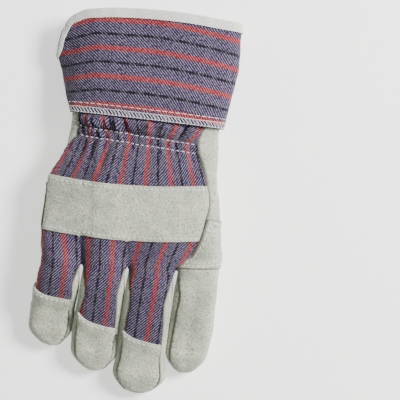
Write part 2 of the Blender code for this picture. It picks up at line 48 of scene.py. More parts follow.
# the glove's own sizes in metres, fingers along -Y, thumb side +X
glove = {
    "fingers": ("pinky", "ring", "middle", "index"),
    "width": {"pinky": 0.0290, "ring": 0.0305, "middle": 0.0330, "index": 0.0295},
    "length": {"pinky": 0.0585, "ring": 0.0740, "middle": 0.0874, "index": 0.0720},
    "lean": {"pinky": -6.9, "ring": -5.8, "middle": -7.3, "index": -6.0},
    "bend": {"pinky": 0.0, "ring": 0.0, "middle": -0.0010, "index": -0.0030},
    "rootStep": {"pinky": 0.0, "ring": 0.0020, "middle": 0.0050, "index": 0.0060},
    "fingerThickness": 0.0190, "crotchGap": 0.0012, "crotchDepth": 0.0012,
    "handLength": 0.1100, "handThickness": 0.0200, "wristOverlap": 0.0090, "cuffTilt": -0.118,
    "thumbWidth": 0.0330, "thumbLength": 0.0880, "thumbThickness": 0.0142, "thumbOpening": 0.0440,
    "thumbLean": -34.8, "thumbStart": (0.367, 0.345), "thumbBlend": 0.15,
    "cuffLength": 0.0755, "cuffMouth": 0.0280, "flareUlnar": 0.0090, "flareRadial": 0.0126,
    "hemLevel": 0.5, "cuffEase": 0.0012,
    "power": 2.5, "press": 0.0006, "tipShare": 0.56, "ulnarShare": 0.526,
    "sideAngle": pi / 4, "sideEnd": 1.8,
}
cloth = {"leather": 0.0013, "canvas": 0.0012, "binding": 0.0009, "gap": 0.0003}
layer = cloth["gap"] + cloth["leather"]
palmWidth = sum(glove["width"].values()) + 3 * glove["crotchGap"]
palmRest = glove["thumbThickness"] + layer + 2 * cloth["gap"]
# how the caps fill out: sideways shift, added half width, from and to shares of the length
fuller = {"pinky": (-0.0024, 0.0006, 0.28, 0.54), "ring": (-0.0020, 0.0010, 0.20, 0.65),
          "middle": (0.0010, 0.0028, 0.67, 0.90), "index": (0.0, 0.0, 0.0, 1.0)}
waist = {"pinky": 0.0012, "reach": 0.009}  # drawn in at the outer side of the root

# along, ulnar, radial, rest, upper, lower
handTable = np.array((
    (0.00, 0.345, 0.479, 0.66, 0.575, 0.50), (0.10, 0.345, 0.479, 0.70, 0.575, 0.50),
    (0.17, 0.359, 0.475, 0.76, 0.450, 0.46), (0.23, 0.371, 0.472, 0.82, 0.450, 0.45),
    (0.34, 0.415, 0.469, 0.94, 0.510, 0.45), (0.42, 0.463, 0.465, 1.00, 0.535, 0.45),
    (0.53, 0.478, 0.470, 1.00, 0.540, 0.45), (0.68, 0.497, 0.475, 1.00, 0.535, 0.45),
    (0.87, 0.507, 0.475, 1.00, 0.510, 0.45), (0.94, 0.506, 0.475, 1.00, 0.495, 0.455),
    (1.00, 0.518, 0.474, 1.00, 0.480, 0.46)))
# along, across: where the canvas back meets the thumb side's leather
backEdgeTable = np.array((
    (0.00, 0.400), (0.12, 0.400), (0.22, 0.361), (0.28, 0.362), (0.38, 0.388), (0.50, 0.411), (0.64, 0.419),
    (0.72, 0.402), (0.80, 0.380), (0.87, 0.357), (0.94, 0.322), (1.00, 0.278), (1.06, 0.232)))
# along, width, thickness, drop
fingerTable = np.array((
    (0.00, 0.98, 1.00, 1.00), (0.25, 1.00, 1.01, 0.86), (0.50, 1.01, 1.01, 0.55),
    (0.75, 1.02, 0.99, 0.22), (1.00, 1.00, 0.97, 0.00)))
# row, share of the side angle: a side strip starts narrow at the crotch and closes at the tip
sideTable = np.array(((0.00, 0.30), (0.10, 0.66), (0.26, 1.08), (0.55, 1.02), (1.00, 0.95)))
# along, ulnar, radial, settle
cuffTable = np.array((
    (0.00, 0.00, 0.00, 0.00), (0.20, 0.16, 0.31, 0.16), (0.48, 0.40, 0.75, 0.55),
    (0.75, 0.66, 0.97, 0.88), (1.00, 1.00, 1.00, 1.00)))
# across, reach of the hem
hemTable = np.array((
    (-1.00, 0.56), (-0.985, 0.62), (-0.95, 0.75), (-0.88, 0.87), (-0.75, 0.945), (-0.50, 0.985),
    (-0.20, 1.000), (0.15, 0.995), (0.50, 0.975), (0.80, 0.945), (1.00, 0.930)))
# across, along: the middle of the knuckle strap, then the palm patch's two edges
strapTable = np.array(((0.00, 0.592), (0.31, 0.655), (0.63, 0.685), (1.00, 0.680)))
patchTopTable = np.array(((0.00, 0.48), (0.36, 0.50), (0.50, 0.58), (1.00, 0.73)))
patchBottomTable = np.array(((0.00, 0.925), (0.25, 0.955), (0.50, 0.965), (0.75, 0.995), (1.00, 1.030)))

# grid columns over each finger, from its ulnar to its thumb side; neighbours share one
across = {"pinky": np.linspace(0, 1, 31), "ring": np.linspace(0, 1, 31), "middle": np.linspace(0, 1, 33),
          "index": np.linspace(0, 1, 67)}
columnStarts = np.cumsum([0] + [len(across[name]) - 1 for name in glove["fingers"]])
columnsOf = {name: slice(start, start + len(across[name]))
             for name, start in zip(glove["fingers"], columnStarts)}
coarseRows = np.linspace(0, 1, 15)


def smooth(value, table, column=1):  # cubic through the table's rows with the rows' own slopes
    keys, heights = table[:, 0], table[:, column]
    slopes = np.gradient(heights, keys)
    value = np.asarray(value, dtype=float)
    at = np.clip(np.searchsorted(keys, value) - 1, 0, len(keys) - 2)
    span = keys[at + 1] - keys[at]
    t = np.clip((value - keys[at]) / span, 0, 1)
    return (heights[at] * (1 + 2 * t) * (1 - t) ** 2 + heights[at + 1] * t * t * (3 - 2 * t)
            + span * slopes[at] * t * (1 - t) ** 2 + span * slopes[at + 1] * t * t * (t - 1))


def ease(value):  # 3t2 - 2t3 between 0 and 1
    t = np.clip(value, 0, 1)
    return t * t * (3 - 2 * t)


def ramp(value, span):  # eased from 0 to 1, from the first number on and over the second
    return ease((value - span[0]) / span[1])


def softened(value, width):  # nothing below 0, then v2 / (v + width), a rounded corner
    positive = np.maximum(value, 0)
    return positive * positive / (positive + width)


def bowed(part):  # sign(s) * |s| ^ (2 / power), one axis of a superellipse
    return np.sign(part) * np.abs(part) ** (2 / glove["power"])


def stacked(x, y, z):  # three arrays or numbers as one array of points
    return np.stack(np.broadcast_arrays(x, y, z), axis=-1)


softWave = {"count": 5, "finer": 1.9, "weaker": 1.8, "level": 2.2, "spread": (0.7, 1.4)}


# soft noise: a few sine waves with odd directions, summed over octaves; places are in metres
def waves(points, size, seed=0, octaves=3):
    rng = np.random.default_rng(seed)
    total, weight = np.zeros(points.shape[:-1]), 0.0
    for octave in range(octaves):
        for _ in range(softWave["count"]):
            direction = rng.normal(size=3)
            direction /= np.linalg.norm(direction)
            length = size / softWave["finer"] ** octave * rng.uniform(*softWave["spread"])
            phase = points @ direction * 2 * pi / length + rng.uniform(0, 6.28)
            total += np.sin(phase) / softWave["weaker"] ** octave
        weight += 1 / softWave["weaker"] ** octave
    return total / weight / softWave["level"]


def rootPlace(name):  # widths and gaps added up from the ulnar side
    before = glove["fingers"][:glove["fingers"].index(name)]
    x = -glove["ulnarShare"] * palmWidth + sum(glove["width"][o] + glove["crotchGap"] for o in before)
    return x + glove["width"][name] / 2, -glove["rootStep"][name]


# finger: superellipse sections along a leaning axis, closed by a superellipse tip
def fingerPoint(name, row, angle, depth, lift=0.0):
    body = np.minimum(row, 1)
    turn = (np.maximum(row, 1) - 1) * pi / 2
    closing = bowed(np.cos(turn))
    length, tip = glove["length"][name], glove["width"][name] * glove["tipShare"]
    halfWidth = glove["width"][name] / 2 * smooth(body, fingerTable, 1)
    halfThick = glove["fingerThickness"] / 2 * smooth(body, fingerTable, 2)
    along = (length - tip) * body + (tip - depth) * bowed(np.sin(turn))
    shift, wider, start, stop = fuller[name]
    filled = ease((along / length - start) / (stop - start))
    drawnIn = waist.get(name, 0.0) * (np.cos(angle) < 0) * (1 - ease(along / waist["reach"]))
    side = (bowed(np.cos(angle)) * (halfWidth + wider * filled - drawnIn - depth) + shift * filled) * closing
    side = side + glove["bend"][name] * (along / length) ** 2
    lean = math.radians(glove["lean"][name])
    rootX, rootY = rootPlace(name)
    middle = palmRest * smooth(body, fingerTable, 3) + halfThick - glove["press"]
    x = rootX + along * math.sin(lean) + side * math.cos(lean)
    y = rootY - along * math.cos(lean) + side * math.sin(lean)
    z = middle + bowed(np.sin(angle)) * (halfThick - depth) * closing + lift
    return stacked(x, y, onFloor(z, depth))


def onFloor(z, depth):  # what would sink under the floor lies on it, its inner wall above
    return np.maximum(z, np.clip(depth, 0, cloth["leather"]))


def sideAngle(row):  # half the angle that a side strip takes up, closed as 1 - s2 past the body
    share = np.clip((row - 1) / (glove["sideEnd"] - 1), 0, 1)
    return glove["sideAngle"] * smooth(np.minimum(row, 1), sideTable) * (1 - share ** 2)


# web between two fingers: halfway between their facing sides, set back towards the hand
def crotchPoint(left, right, angle, depth, lift=0.0):
    near = fingerPoint(left, 0.0, angle, depth, lift)
    far = fingerPoint(right, 0.0, pi - angle, depth, lift)
    return (near + far) / 2 + stacked(0.0, glove["crotchDepth"] + depth, 0.0)


def handSection(y):  # middle, half width, seam height, upper and lower bulge at y
    along = (glove["handLength"] - y) / glove["handLength"]
    ulnar, radial = -palmWidth * smooth(along, handTable, 1), palmWidth * smooth(along, handTable, 2)
    upper, lower = (glove["handThickness"] * smooth(along, handTable, column) for column in (4, 5))
    seam = palmRest * smooth(along, handTable, 3) + lower
    return (ulnar + radial) / 2, (radial - ulnar) / 2, seam, upper, lower


def angleAt(x, middle, halfWidth):  # the angle whose bowed cosine reaches x
    share = np.clip((x - middle) / halfWidth, -1, 1)
    return np.arccos(np.sign(share) * np.abs(share) ** (glove["power"] / 2))


def wristEnd(x):  # the tilted line where the hand ends
    return glove["handLength"] + glove["cuffTilt"] * x


def fingerEdges(name, row, under):  # first and last angle of a finger's back or front
    opening = sideAngle(row)
    if name == "index":
        return opening - pi, pi - opening
    first = pi - (0 if name == "pinky" else opening)
    return (-first, -opening) if under else (first, opening)


def seamLift(angle, under):  # the back a gap up, the front a gap down; the index changes over at its side
    gap = cloth["gap"]
    return gap * np.clip(angle / glove["sideAngle"], -1, 1) if under else gap + 0 * angle


# the back slopes straight down to the ulnar side from a soft crease, less near the wrist
wedge = {"from": -0.022, "share": 0.85, "soft": 0.2, "less": 0.7, "lessFrom": 0.078, "lessOver": 0.016}
# metres of palm leather beside the canvas at the ulnar wrist
ulnarStrip = {"width": 0.0054, "from": 0.0805, "rise": 0.0120}
# the rows from which, and over which, the hand turns into the fingers' roots
rootBlend = {"x": (0.92, 0.08), "z": (0.72, 0.28)}


# the hand over one finger's columns: sections down the hand that blend into the finger's root
def handGroup(name, rows, depth, under):
    order, sign, shares = glove["fingers"].index(name), -1 if under else 1, across[name]
    first, final = fingerEdges(name, 0.0, under)
    rootAngle = (first + (final - first) * shares)[None, :]
    root = fingerPoint(name, 0.0, rootAngle, depth[-1:], seamLift(rootAngle, under))[0]
    side, lift = sign * sideAngle(0.0), sign * cloth["gap"]
    if order > 0:
        root[0] = crotchPoint(glove["fingers"][order - 1], name, side, depth[-1, 0], lift)
    if name != "index":
        root[-1] = crotchPoint(name, glove["fingers"][order + 1], side, depth[-1, -1], lift)
    else:
        root[-1] = crotchPoint("middle", "index", -side, depth[-1, -1], -lift)
    y = wristEnd(root[:, 0]) + (root[:, 1] - wristEnd(root[:, 0])) * rows
    middle, halfWidth, seam, upper, lower = handSection(y)
    strip = ulnarStrip["width"] * ease((y - ulnarStrip["from"]) / ulnarStrip["rise"])
    marks = [angleAt(middle - halfWidth + strip, middle, halfWidth)]
    for a, b in zip(glove["fingers"], glove["fingers"][1:]):
        marks.append(angleAt(crotchPoint(a, b, 0.0, 0.0)[0], middle, halfWidth))
    edgeX = palmWidth * smooth((glove["handLength"] - y) / glove["handLength"], backEdgeTable)
    edge = angleAt(edgeX, middle, halfWidth)
    marks = [marks[0] - 2 * pi] + [-mark for mark in marks[1:]] + [edge] if under else marks[:3] + [edge]
    angle = marks[order] + (marks[order + 1] - marks[order]) * shares
    x = middle + bowed(np.cos(angle)) * (halfWidth - depth)
    height = bowed(np.sin(angle))
    rise = height * np.where(height > 0, upper, lower)
    fall = (wedge["from"] - x) / (wedge["from"] - middle + halfWidth)
    less = 1 - wedge["less"] * ease((y - wedge["lessFrom"]) / wedge["lessOver"])
    flat = wedge["share"] * ease(fall / wedge["soft"]) * (height > 0) * less
    rise = rise + flat * (upper * (1 - np.clip(fall, 0, 1)) - rise)
    z = seam + rise - height * depth + seamLift(angle, under)
    x = x + (root[:, 0] - x) * ramp(rows, rootBlend["x"])
    z = z + (root[:, 2] - z) * ramp(rows, rootBlend["z"])
    if name == ("index" if under else "middle"):
        x[:, -1] += cloth["gap"] if under else -cloth["gap"]
    return stacked(x, y, z)


def palmUnderside(x, y):  # the lower half of the hand's section at x and y, less two gaps
    middle, halfWidth, seam, _, lower = handSection(y)
    share = np.clip(np.abs((x - middle) / halfWidth), 0, 1)
    return seam - lower * (1 - share ** glove["power"]) ** (1 / glove["power"]) - 2 * cloth["gap"]


# thumb: a hood that swells out of the palm, then a flat tube with a round tip
def thumbPoint(row, angle, depth):
    hood = np.clip(row, 0, 1) * pi / 2
    body = np.clip(row, 1, 2) - 1
    turn = (np.clip(row, 2, 3) - 2) * pi / 2
    tip = glove["thumbWidth"] * glove["tipShare"]
    opening, half = glove["thumbOpening"], glove["thumbThickness"] / 2
    closing = np.sin(hood) * bowed(np.cos(turn))
    along = (opening - (opening - depth) * np.cos(hood)
             + (glove["thumbLength"] - opening - tip) * body + (tip - depth) * bowed(np.sin(turn)))
    side = bowed(np.cos(angle)) * (glove["thumbWidth"] / 2 - depth) * closing
    lean = math.radians(glove["thumbLean"])
    x = glove["thumbStart"][0] * palmWidth + along * math.sin(lean) + side * math.cos(lean)
    y = (glove["handLength"] * (1 - glove["thumbStart"][1])
         - along * math.cos(lean) + side * math.sin(lean))
    height = bowed(np.sin(angle))
    root = palmUnderside(x, y)
    atRoot = root + np.where(height > 0, -depth, root + glove["press"] - depth) * height * closing
    tube = half + (half + np.where(height > 0, 0, glove["press"]) - depth) * height * closing
    z = atRoot + (tube - atRoot) * ease(body / glove["thumbBlend"])
    return stacked(x, y, onFloor(z, depth))


# cuff: superellipse rings from the wrist's section out to the flat mouth
def cuffPoint(row, angle, depth):
    level = glove["handLength"] - glove["wristOverlap"] + 0 * row
    middle, halfWidth, seam, upper, lower = handSection(level)
    fit = cloth["canvas"] + glove["cuffEase"]
    ulnar = middle - halfWidth - fit - glove["flareUlnar"] * smooth(row, cuffTable, 1)
    radial = middle + halfWidth + fit + glove["flareRadial"] * smooth(row, cuffTable, 2)
    settle = smooth(row, cuffTable, 3)
    floor = cloth["gap"] + cloth["binding"]
    top = (seam + upper + fit) * (1 - settle) + glove["cuffMouth"] * settle
    bottom = (seam - lower - fit) * (1 - settle) + (floor - glove["press"]) * settle
    edge = seam * (1 - settle) + glove["cuffMouth"] / 2 * settle
    share, height = bowed(np.cos(angle)), bowed(np.sin(angle))
    x = (ulnar + radial) / 2 + share * ((radial - ulnar) / 2 - depth)
    z = edge + height * (np.where(height > 0, top - edge, edge - bottom) - depth)
    reach = glove["cuffLength"] * smooth(share, hemTable) - glove["cuffTilt"] * glove["hemLevel"] * x
    y = wristEnd(x) - glove["wristOverlap"] + reach * row
    return stacked(x, y, np.maximum(z, floor + np.clip(depth, -floor, cloth["canvas"])))


# the solids' origin is the middle of their box, so the forms move by what the thumb's box says
thumbForm = thumbPoint(np.array((0, .2, .4, .6, .8, 1, 1.08, 1.16, 1.5, 1.75, 2, 2.3, 2.6, 2.8, 3))[:, None],
                       np.linspace(-pi, 0, 9)[None, :], 0)
thumbLow, thumbHigh = (np.array(corner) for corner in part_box("thumb"))
settled = (thumbLow + thumbHigh) / 2 - (thumbForm.min(axis=(0, 1)) + thumbForm.max(axis=(0, 1))) / 2
settled[2] = 0


def pathLengths(grid, axis):  # distance run along an axis of a grid of points
    steps = np.linalg.norm(np.diff(grid, axis=axis), axis=-1)
    start = np.zeros_like(np.take(steps, [0], axis=axis))
    return np.cumsum(np.concatenate((start, steps), axis=axis), axis=axis)


# how far each grid point lies from the sides named: first row, last row, first and last column
def edgeDistance(grid, sides):
    down, over = pathLengths(grid, 0), pathLengths(grid, 1)
    reach = {"top": down, "bottom": down[-1:] - down, "left": over, "right": over[:, -1:] - over}
    return np.minimum.reduce([reach[side] for side in sides])


def rolled(distance, width, drop):  # a quarter round: drop at the edge, nothing past the width
    t = 1 - np.clip(distance / width, 0, 1)
    return drop * (1 - np.sqrt(1 - np.minimum(t, 0.999) ** 2))


def edgeSpaced(count, low=0.0, high=1.0, crowd=0.6):  # more rows near both ends
    t = np.linspace(0, 1, count)
    return low + (high - low) * ((1 - crowd) * t + crowd * (0.5 - 0.5 * np.cos(pi * t)))


def gridQuads(index):  # the four corners of each cell in a grid of point numbers
    return np.stack((index[:-1, :-1], index[1:, :-1], index[1:, 1:], index[:-1, 1:]), -1).reshape(-1, 4)


def placed(name, data):  # an object of its data, in the scene
    thing = bpy.data.objects.new(name, data)
    bpy.context.scene.collection.objects.link(thing)
    return thing


micrometres = 1e6  # doubled points are found in whole micrometres


# one closed wall from patches of outer points, inner points and cloth coordinates: cells that lost
# a corner become triangles or go, and a rim joins the open edges of the two faces
def wallPiece(name, patches, material):
    outer, inner, weave = (np.concatenate([patch[k].reshape(-1, 3) for patch in patches]) for k in range(3))
    outer, inner = outer + settled, inner + settled
    quads, start = [], 0
    for patch in patches:
        rows, cols = patch[0].shape[:2]
        quads.append(gridQuads(start + np.arange(rows * cols).reshape(rows, cols)))
        start += rows * cols
    _, keep, back = np.unique(np.round(outer * micrometres).astype(np.int64), axis=0,
                              return_index=True, return_inverse=True)
    quads = back.reshape(-1)[np.concatenate(quads)]
    outer, inner, weave, count = outer[keep], inner[keep], weave[keep], len(keep)
    same = quads == np.roll(quads, -1, axis=1)
    whole = quads[(same.sum(1) == 0) & (quads[:, 0] != quads[:, 2]) & (quads[:, 1] != quads[:, 3])]
    pinched = same.sum(1) == 1
    corners = quads[pinched][~same[pinched]].reshape(-1, 3)
    corners = corners[corners[:, 0] != corners[:, 2]]
    edges = np.concatenate([np.stack((face, np.roll(face, -1, axis=1)), -1).reshape(-1, 2)
                            for face in (whole, corners)])
    codes, reverse = edges[:, 0] * count + edges[:, 1], edges[:, 1] * count + edges[:, 0]
    rim = edges[~np.isin(codes, reverse)]
    rims = np.stack((rim[:, 1], rim[:, 0], rim[:, 0] + count, rim[:, 1] + count), -1)
    faces = (whole.tolist() + corners.tolist() + (whole[:, ::-1] + count).tolist()
             + (corners[:, ::-1] + count).tolist() + rims.tolist())
    return meshPiece(name, np.concatenate((outer, inner)), faces, material, np.concatenate((weave, weave)))


# a mesh with its faces outwards; edges sharper than the angle, in degrees, stay sharp
def meshPiece(name, points, faces, material, weave=None, sharp=55):
    mesh = bpy.data.meshes.new(name)
    mesh.from_pydata(points.tolist(), [], faces)
    if weave is not None:
        places = mesh.attributes.new("cloth", "FLOAT_VECTOR", "POINT").data
        places.foreach_set("vector", weave.astype(np.float32).ravel())
    work = bmesh.new()
    work.from_mesh(mesh)
    bmesh.ops.recalc_face_normals(work, faces=work.faces[:])
    if work.calc_volume(signed=True) < 0:  # a thin strip that was turned inside out
        bmesh.ops.reverse_faces(work, faces=work.faces[:])
    work.to_mesh(mesh)
    work.free()
    mesh.shade_smooth()
    mesh.set_sharp_from_angle(angle=math.radians(sharp))
    mesh.materials.append(material)
    return placed(name, mesh)


def finishPiece(piece, slot, *nodes):  # on the one body, in the place of its nodes, which are hidden; the slot is not used
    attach(piece, "root")
    if nodes:
        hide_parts(*nodes)


def handGrid(under, row, depth=0.0):  # the groups side by side, shared columns once
    names = glove["fingers"] if under else glove["fingers"][:3]
    rows = np.broadcast_to(row if row.ndim > 1 else row[:, None], (len(row), columnStarts[len(names)] + 1))
    deep = np.broadcast_to(depth, rows.shape)
    groups = [handGroup(name, rows[:, columnsOf[name]], deep[:, columnsOf[name]], under) for name in names]
    return np.concatenate([group[:, :-1] for group in groups] + [groups[-1][:, -1:]], axis=1)


def fingerGrid(name, under, rows, depth=0.0):  # a finger's back or front, its sections a little swollen
    first, final = fingerEdges(name, rows, under)
    angle = first + (final - first) * across[name]
    return fingerPoint(name, rows, angle, depth - swell(angle, rows), seamLift(angle, under))


# rows that reach from one height to another in each column of a hand grid
def rowsBetween(base, top, bottom, count, crowd):
    start, end = base[0, :, 1], base[-1, :, 1]
    low, high = (np.clip((start - line) / (start - end), 0, 1) for line in (top, bottom))
    return low + (high - low) * edgeSpaced(count, crowd=crowd)[:, None]


def edgeLine(table, base):  # a seam's heights from shares across the hand, read at its middle
    shares = base[len(base) // 2, :, 0] / palmWidth + glove["ulnarShare"]
    return glove["handLength"] * (1 - smooth(shares, table))


# stripe positions across the back at four heights above the finger roots, all in metres
stripes = {
    "levels": (0.1005, 0.0870, 0.0556, 0.0160, 0.0),
    "reds": np.array((
        (-0.0418, -0.0326, -0.0213, -0.0054, 0.0111, 0.0306, 0.0470),
        (-0.0413, -0.0305, -0.0172, -0.0028, 0.0106, 0.0234, 0.0368),
        (-0.0560, -0.0416, -0.0272, -0.0092, 0.0080, 0.0265, 0.0424),
        (-0.0629, -0.0485, -0.0307, -0.0141, 0.0044, 0.0218, 0.0393),
        (-0.0642, -0.0469, -0.0318, -0.0146, -0.0001, 0.0164, 0.0311))),
    "fingerLean": 0.045, "wristTilt": -0.118,
}


def stripeAt(x, y):  # red stripes at whole numbers, black ones halfway
    reds, beyond = stripes["reds"], np.arange(1, 4)
    before = reds[:, :1] - (reds[:, 1:2] - reds[:, :1]) * beyond[::-1]
    after = reds[:, -1:] + (reds[:, -1:] - reds[:, -2:-1]) * beyond
    marks = np.concatenate((before, reds, after), axis=1)
    level = np.stack([np.interp(x, row, np.arange(-3, 10)) for row in marks])
    height = y - stripes["wristTilt"] * x
    place = np.interp(-height, [-h for h in stripes["levels"]], np.arange(5.0))
    low = np.clip(place.astype(int), 0, 3)
    t = place - low
    below = np.take_along_axis(level, low[None], 0)[0]
    return below + (np.take_along_axis(level, low[None] + 1, 0)[0] - below) * t


# back of the hand: gathers along two elastic rows, a puff above them, slack folds below
relief = {"row": 0.0901, "tilt": -0.149, "rowStep": 0.0062, "rowWidth": 0.0011, "groove": 0.0012,
          "pleat": 0.0013, "puff": 0.0018, "puffRise": (-0.001, 0.005), "puffFall": (0.007, 0.004),
          "puffPleat": 0.35, "fade": (0.052, 0.034), "stripe": 0.0165, "stretch": 0.22,
          "folds": (0.0095, 31, 2), "creases": (0.0042, 32, 1), "creaseShare": 0.4, "pressed": 0.75,
          "sideShare": (0.35, 0.65), "sidePower": 6, "cuffReach": 0.004, "cuffStart": 0.3,
          "dentShare": (0.3, 0.7)}
# dents of two sizes in each cloth: height, size, seed
backDents = ((0.00045, 0.034, 4), (0.00018, 0.010, 5))
hideDents = ((0.00050, 0.030, 11), (0.00016, 0.008, 12))
cuffDents = ((0.0009, 0.045, 21), (0.0002, 0.012, 22))


def dents(points, layers, seed=0):  # a sum of soft noises
    return sum(height * waves(points, size, first + seed) for height, size, first in layers)


def shirrLine(x, which):  # the height of an elastic row
    return relief["row"] - which * relief["rowStep"] + relief["tilt"] * x


# pleats * ripple - a groove at each row + the puff, less at the sides and none inside the cuff
def backRelief(points):
    x, y = points[..., 0], points[..., 1]
    stripe = stripeAt(x, y)
    t = y - shirrLine(x, 0)
    near = np.exp(-(np.minimum(np.abs(t), np.abs(t + relief["rowStep"])) / relief["rowWidth"]) ** 2)
    fade = ramp(y, relief["fade"])
    lengthwise = stacked(stripe * relief["stripe"], y * relief["stretch"], 0 * y)
    creases = relief["creaseShare"] * waves(lengthwise, *relief["creases"])
    ripple = (waves(lengthwise, *relief["folds"]) + creases) * (1 - relief["pressed"] * near)
    puff = relief["puff"] * ramp(t, relief["puffRise"]) * (1 - ramp(t, relief["puffFall"]))
    middle, halfWidth = handSection(y)[:2]
    flat = 1 - np.clip(np.abs(x - middle) / halfWidth, 0, 1) ** relief["sidePower"]
    free = ease((wristEnd(x) - glove["wristOverlap"] - y) / relief["cuffReach"] + relief["cuffStart"])
    folds = (relief["pleat"] * fade * ripple - relief["groove"] * near * fade
             + puff * (1 + relief["puffPleat"] * ripple))
    (side, inward), (least, more) = relief["sideShare"], relief["dentShare"]
    return folds * free * (side + inward * flat) + dents(points, backDents) * (least + more * free)


def leatherRelief(points, seed=0):  # broad dents and small creases of soft hide
    return dents(points, hideDents, seed)


swelling = {"shoulder": 0.0012, "from": (0.0, 0.3), "end": (1.0, 0.8), "tip": 0.0016}


# fuller shoulders on a finger that lies flat, from the crotch on, and a rounder end
def swell(angle, row):
    turn = np.clip(row - 1, 0, 1) * pi
    shoulders = swelling["shoulder"] * np.abs(np.sin(2 * angle)) * ramp(row, swelling["from"])
    return shoulders * (1 - ramp(row, swelling["end"])) - swelling["tip"] * np.sin(turn) ** 2


ridges = {"step": 0.0042, "reach": 0.004, "wander": 190}


# puckers that a seam pulls into its cloth: ridges across the edge that die away from it
def puckers(distance, along, height):
    phase = along * 2 * pi / ridges["step"] + 2 * np.sin(along * ridges["wander"])
    return height * np.exp(-distance / ridges["reach"]) * np.sin(phase)


# width and drop of a seam's rolled edge, and the height of its puckers
seams = {"panel": (0.0022, 0.0009, 0.00022), "canvasFinger": (0.0026, 0.0011, 0.00025),
         "leatherFinger": (0.0026, 0.0010, 0.00022), "cap": (0.0024, 0.0010, 0.00022)}


def seamed(height, edge, along, seam, share=1.0):  # a relief with its edge rolled in, and puckers
    width, drop, pucker = seam
    return height - rolled(edge, width, drop) * share + puckers(edge, along, pucker)


# node tools: a node with its sockets set or linked, a sum, a colour mix and a remapped range
def put(tree, kind, inputs, **settings):
    node = tree.nodes.new("ShaderNode" + kind)
    for key, value in settings.items():
        setattr(node, key, value)
    for key, value in inputs.items():
        if isinstance(value, bpy.types.NodeSocket):
            tree.links.new(value, node.inputs[key])
        else:
            node.inputs[key].default_value = value
    return node


def calc(tree, operation, *values):
    return put(tree, "Math", dict(enumerate(values)), operation=operation).outputs[0]


def blendColour(tree, factor, first, second):
    return put(tree, "Mix", {0: factor, 6: first, 7: second}, data_type="RGBA", blend_type="MIX").outputs[2]


def ranged(tree, value, low, high, start=0.0, stop=1.0):
    node = put(tree, "MapRange", {0: value, 1: low, 2: high, 3: start, 4: stop},
               interpolation_type="SMOOTHSTEP")
    return node.outputs[0]


def noise(tree, vector, scale, detail, rough):
    return put(tree, "TexNoise", {"Vector": vector, "Scale": scale, "Detail": detail,
                                  "Roughness": rough}).outputs[0]


def objectPlace(tree):  # object coordinates
    return put(tree, "TexCoord", {}).outputs["Object"]


def clothPlace(tree):  # the cloth attribute
    return put(tree, "Attribute", {}, attribute_name="cloth").outputs["Vector"]


def newGroup(name, inputs, outputs):  # a group with named inputs, and named outputs that are numbers
    tree = bpy.data.node_groups.new(name, "ShaderNodeTree")
    for socket, kind, value in inputs:
        made = tree.interface.new_socket(socket, in_out="INPUT", socket_type="NodeSocket" + kind)
        if kind == "Float":
            made.default_value = value
    for socket in outputs:
        tree.interface.new_socket(socket, in_out="OUTPUT", socket_type="NodeSocketFloat")
    return tree, tree.nodes.new("NodeGroupInput").outputs, tree.nodes.new("NodeGroupOutput").inputs


def newMaterial(name, **values):  # a shader with its values set, an underscore for each space
    material = bpy.data.materials.new(name)
    material.use_nodes = True
    tree = material.node_tree
    shader = tree.nodes["Principled BSDF"]
    for key, value in values.items():
        shader.inputs[key.replace("_", " ")].default_value = value
    return material, tree, shader


def shade(tree, shader, colour, height=None, strength=0.0, distance=0.0):  # a colour, and a bump if any
    tree.links.new(colour, shader.inputs["Base Color"])
    if height is not None:
        bump = put(tree, "Bump", {"Height": height, "Strength": strength, "Distance": distance})
        tree.links.new(bump.outputs[0], shader.inputs["Normal"])


# noises as scale, detail, roughness; ranges as from, to and what they become
grain = {"mottle": (55, 5, 0.62), "mottleRange": (0.34, 0.66), "nap": (820, 3, 0.75),
         "napRange": (0.38, 0.62), "speck": (560, 3, 0.85), "speckRange": (0.55, 0.66),
         "fine": (2600, 2, 0.6), "napHeight": 0.7, "fineHeight": 0.5}
# the seam colour and its share are painted shade: the hide is darkened towards each seam, where the parts
# meet
hide = {"pale": (0.635, 0.645, 0.515, 1), "cool": (0.450, 0.500, 0.400, 1), "speck": (0.15, 0.13, 0.08, 1),
        "napped": (0.30, 0.30, 0.25, 1), "seam": (0.17, 0.16, 0.12, 1), "napShare": (0, 1, 0.55, 0.0),
        "speckShare": 0.85, "seamShadeShare": (0.0002, 0.0015, 0.85, 0.0), "strength": 0.75, "bump": 0.00048}


# split hide: cloudy mottling, a short nap and dark specks, all from object coordinates
def makeHideGroup():
    tree, given, out = newGroup("hideGrain", [("Place", "Vector", None)],
                                ("Mottle", "Nap", "Speck", "Height"))
    place = given["Place"]
    mottle, nap, speck = (ranged(tree, noise(tree, place, *grain[key]), *grain[key + "Range"])
                          for key in ("mottle", "nap", "speck"))
    fine = noise(tree, place, *grain["fine"])
    height = calc(tree, "ADD", calc(tree, "MULTIPLY", nap, grain["napHeight"]),
                  calc(tree, "MULTIPLY", fine, grain["fineHeight"]))
    for name, value in (("Mottle", mottle), ("Nap", nap), ("Speck", speck), ("Height", height)):
        tree.links.new(value, out[name])
    return tree


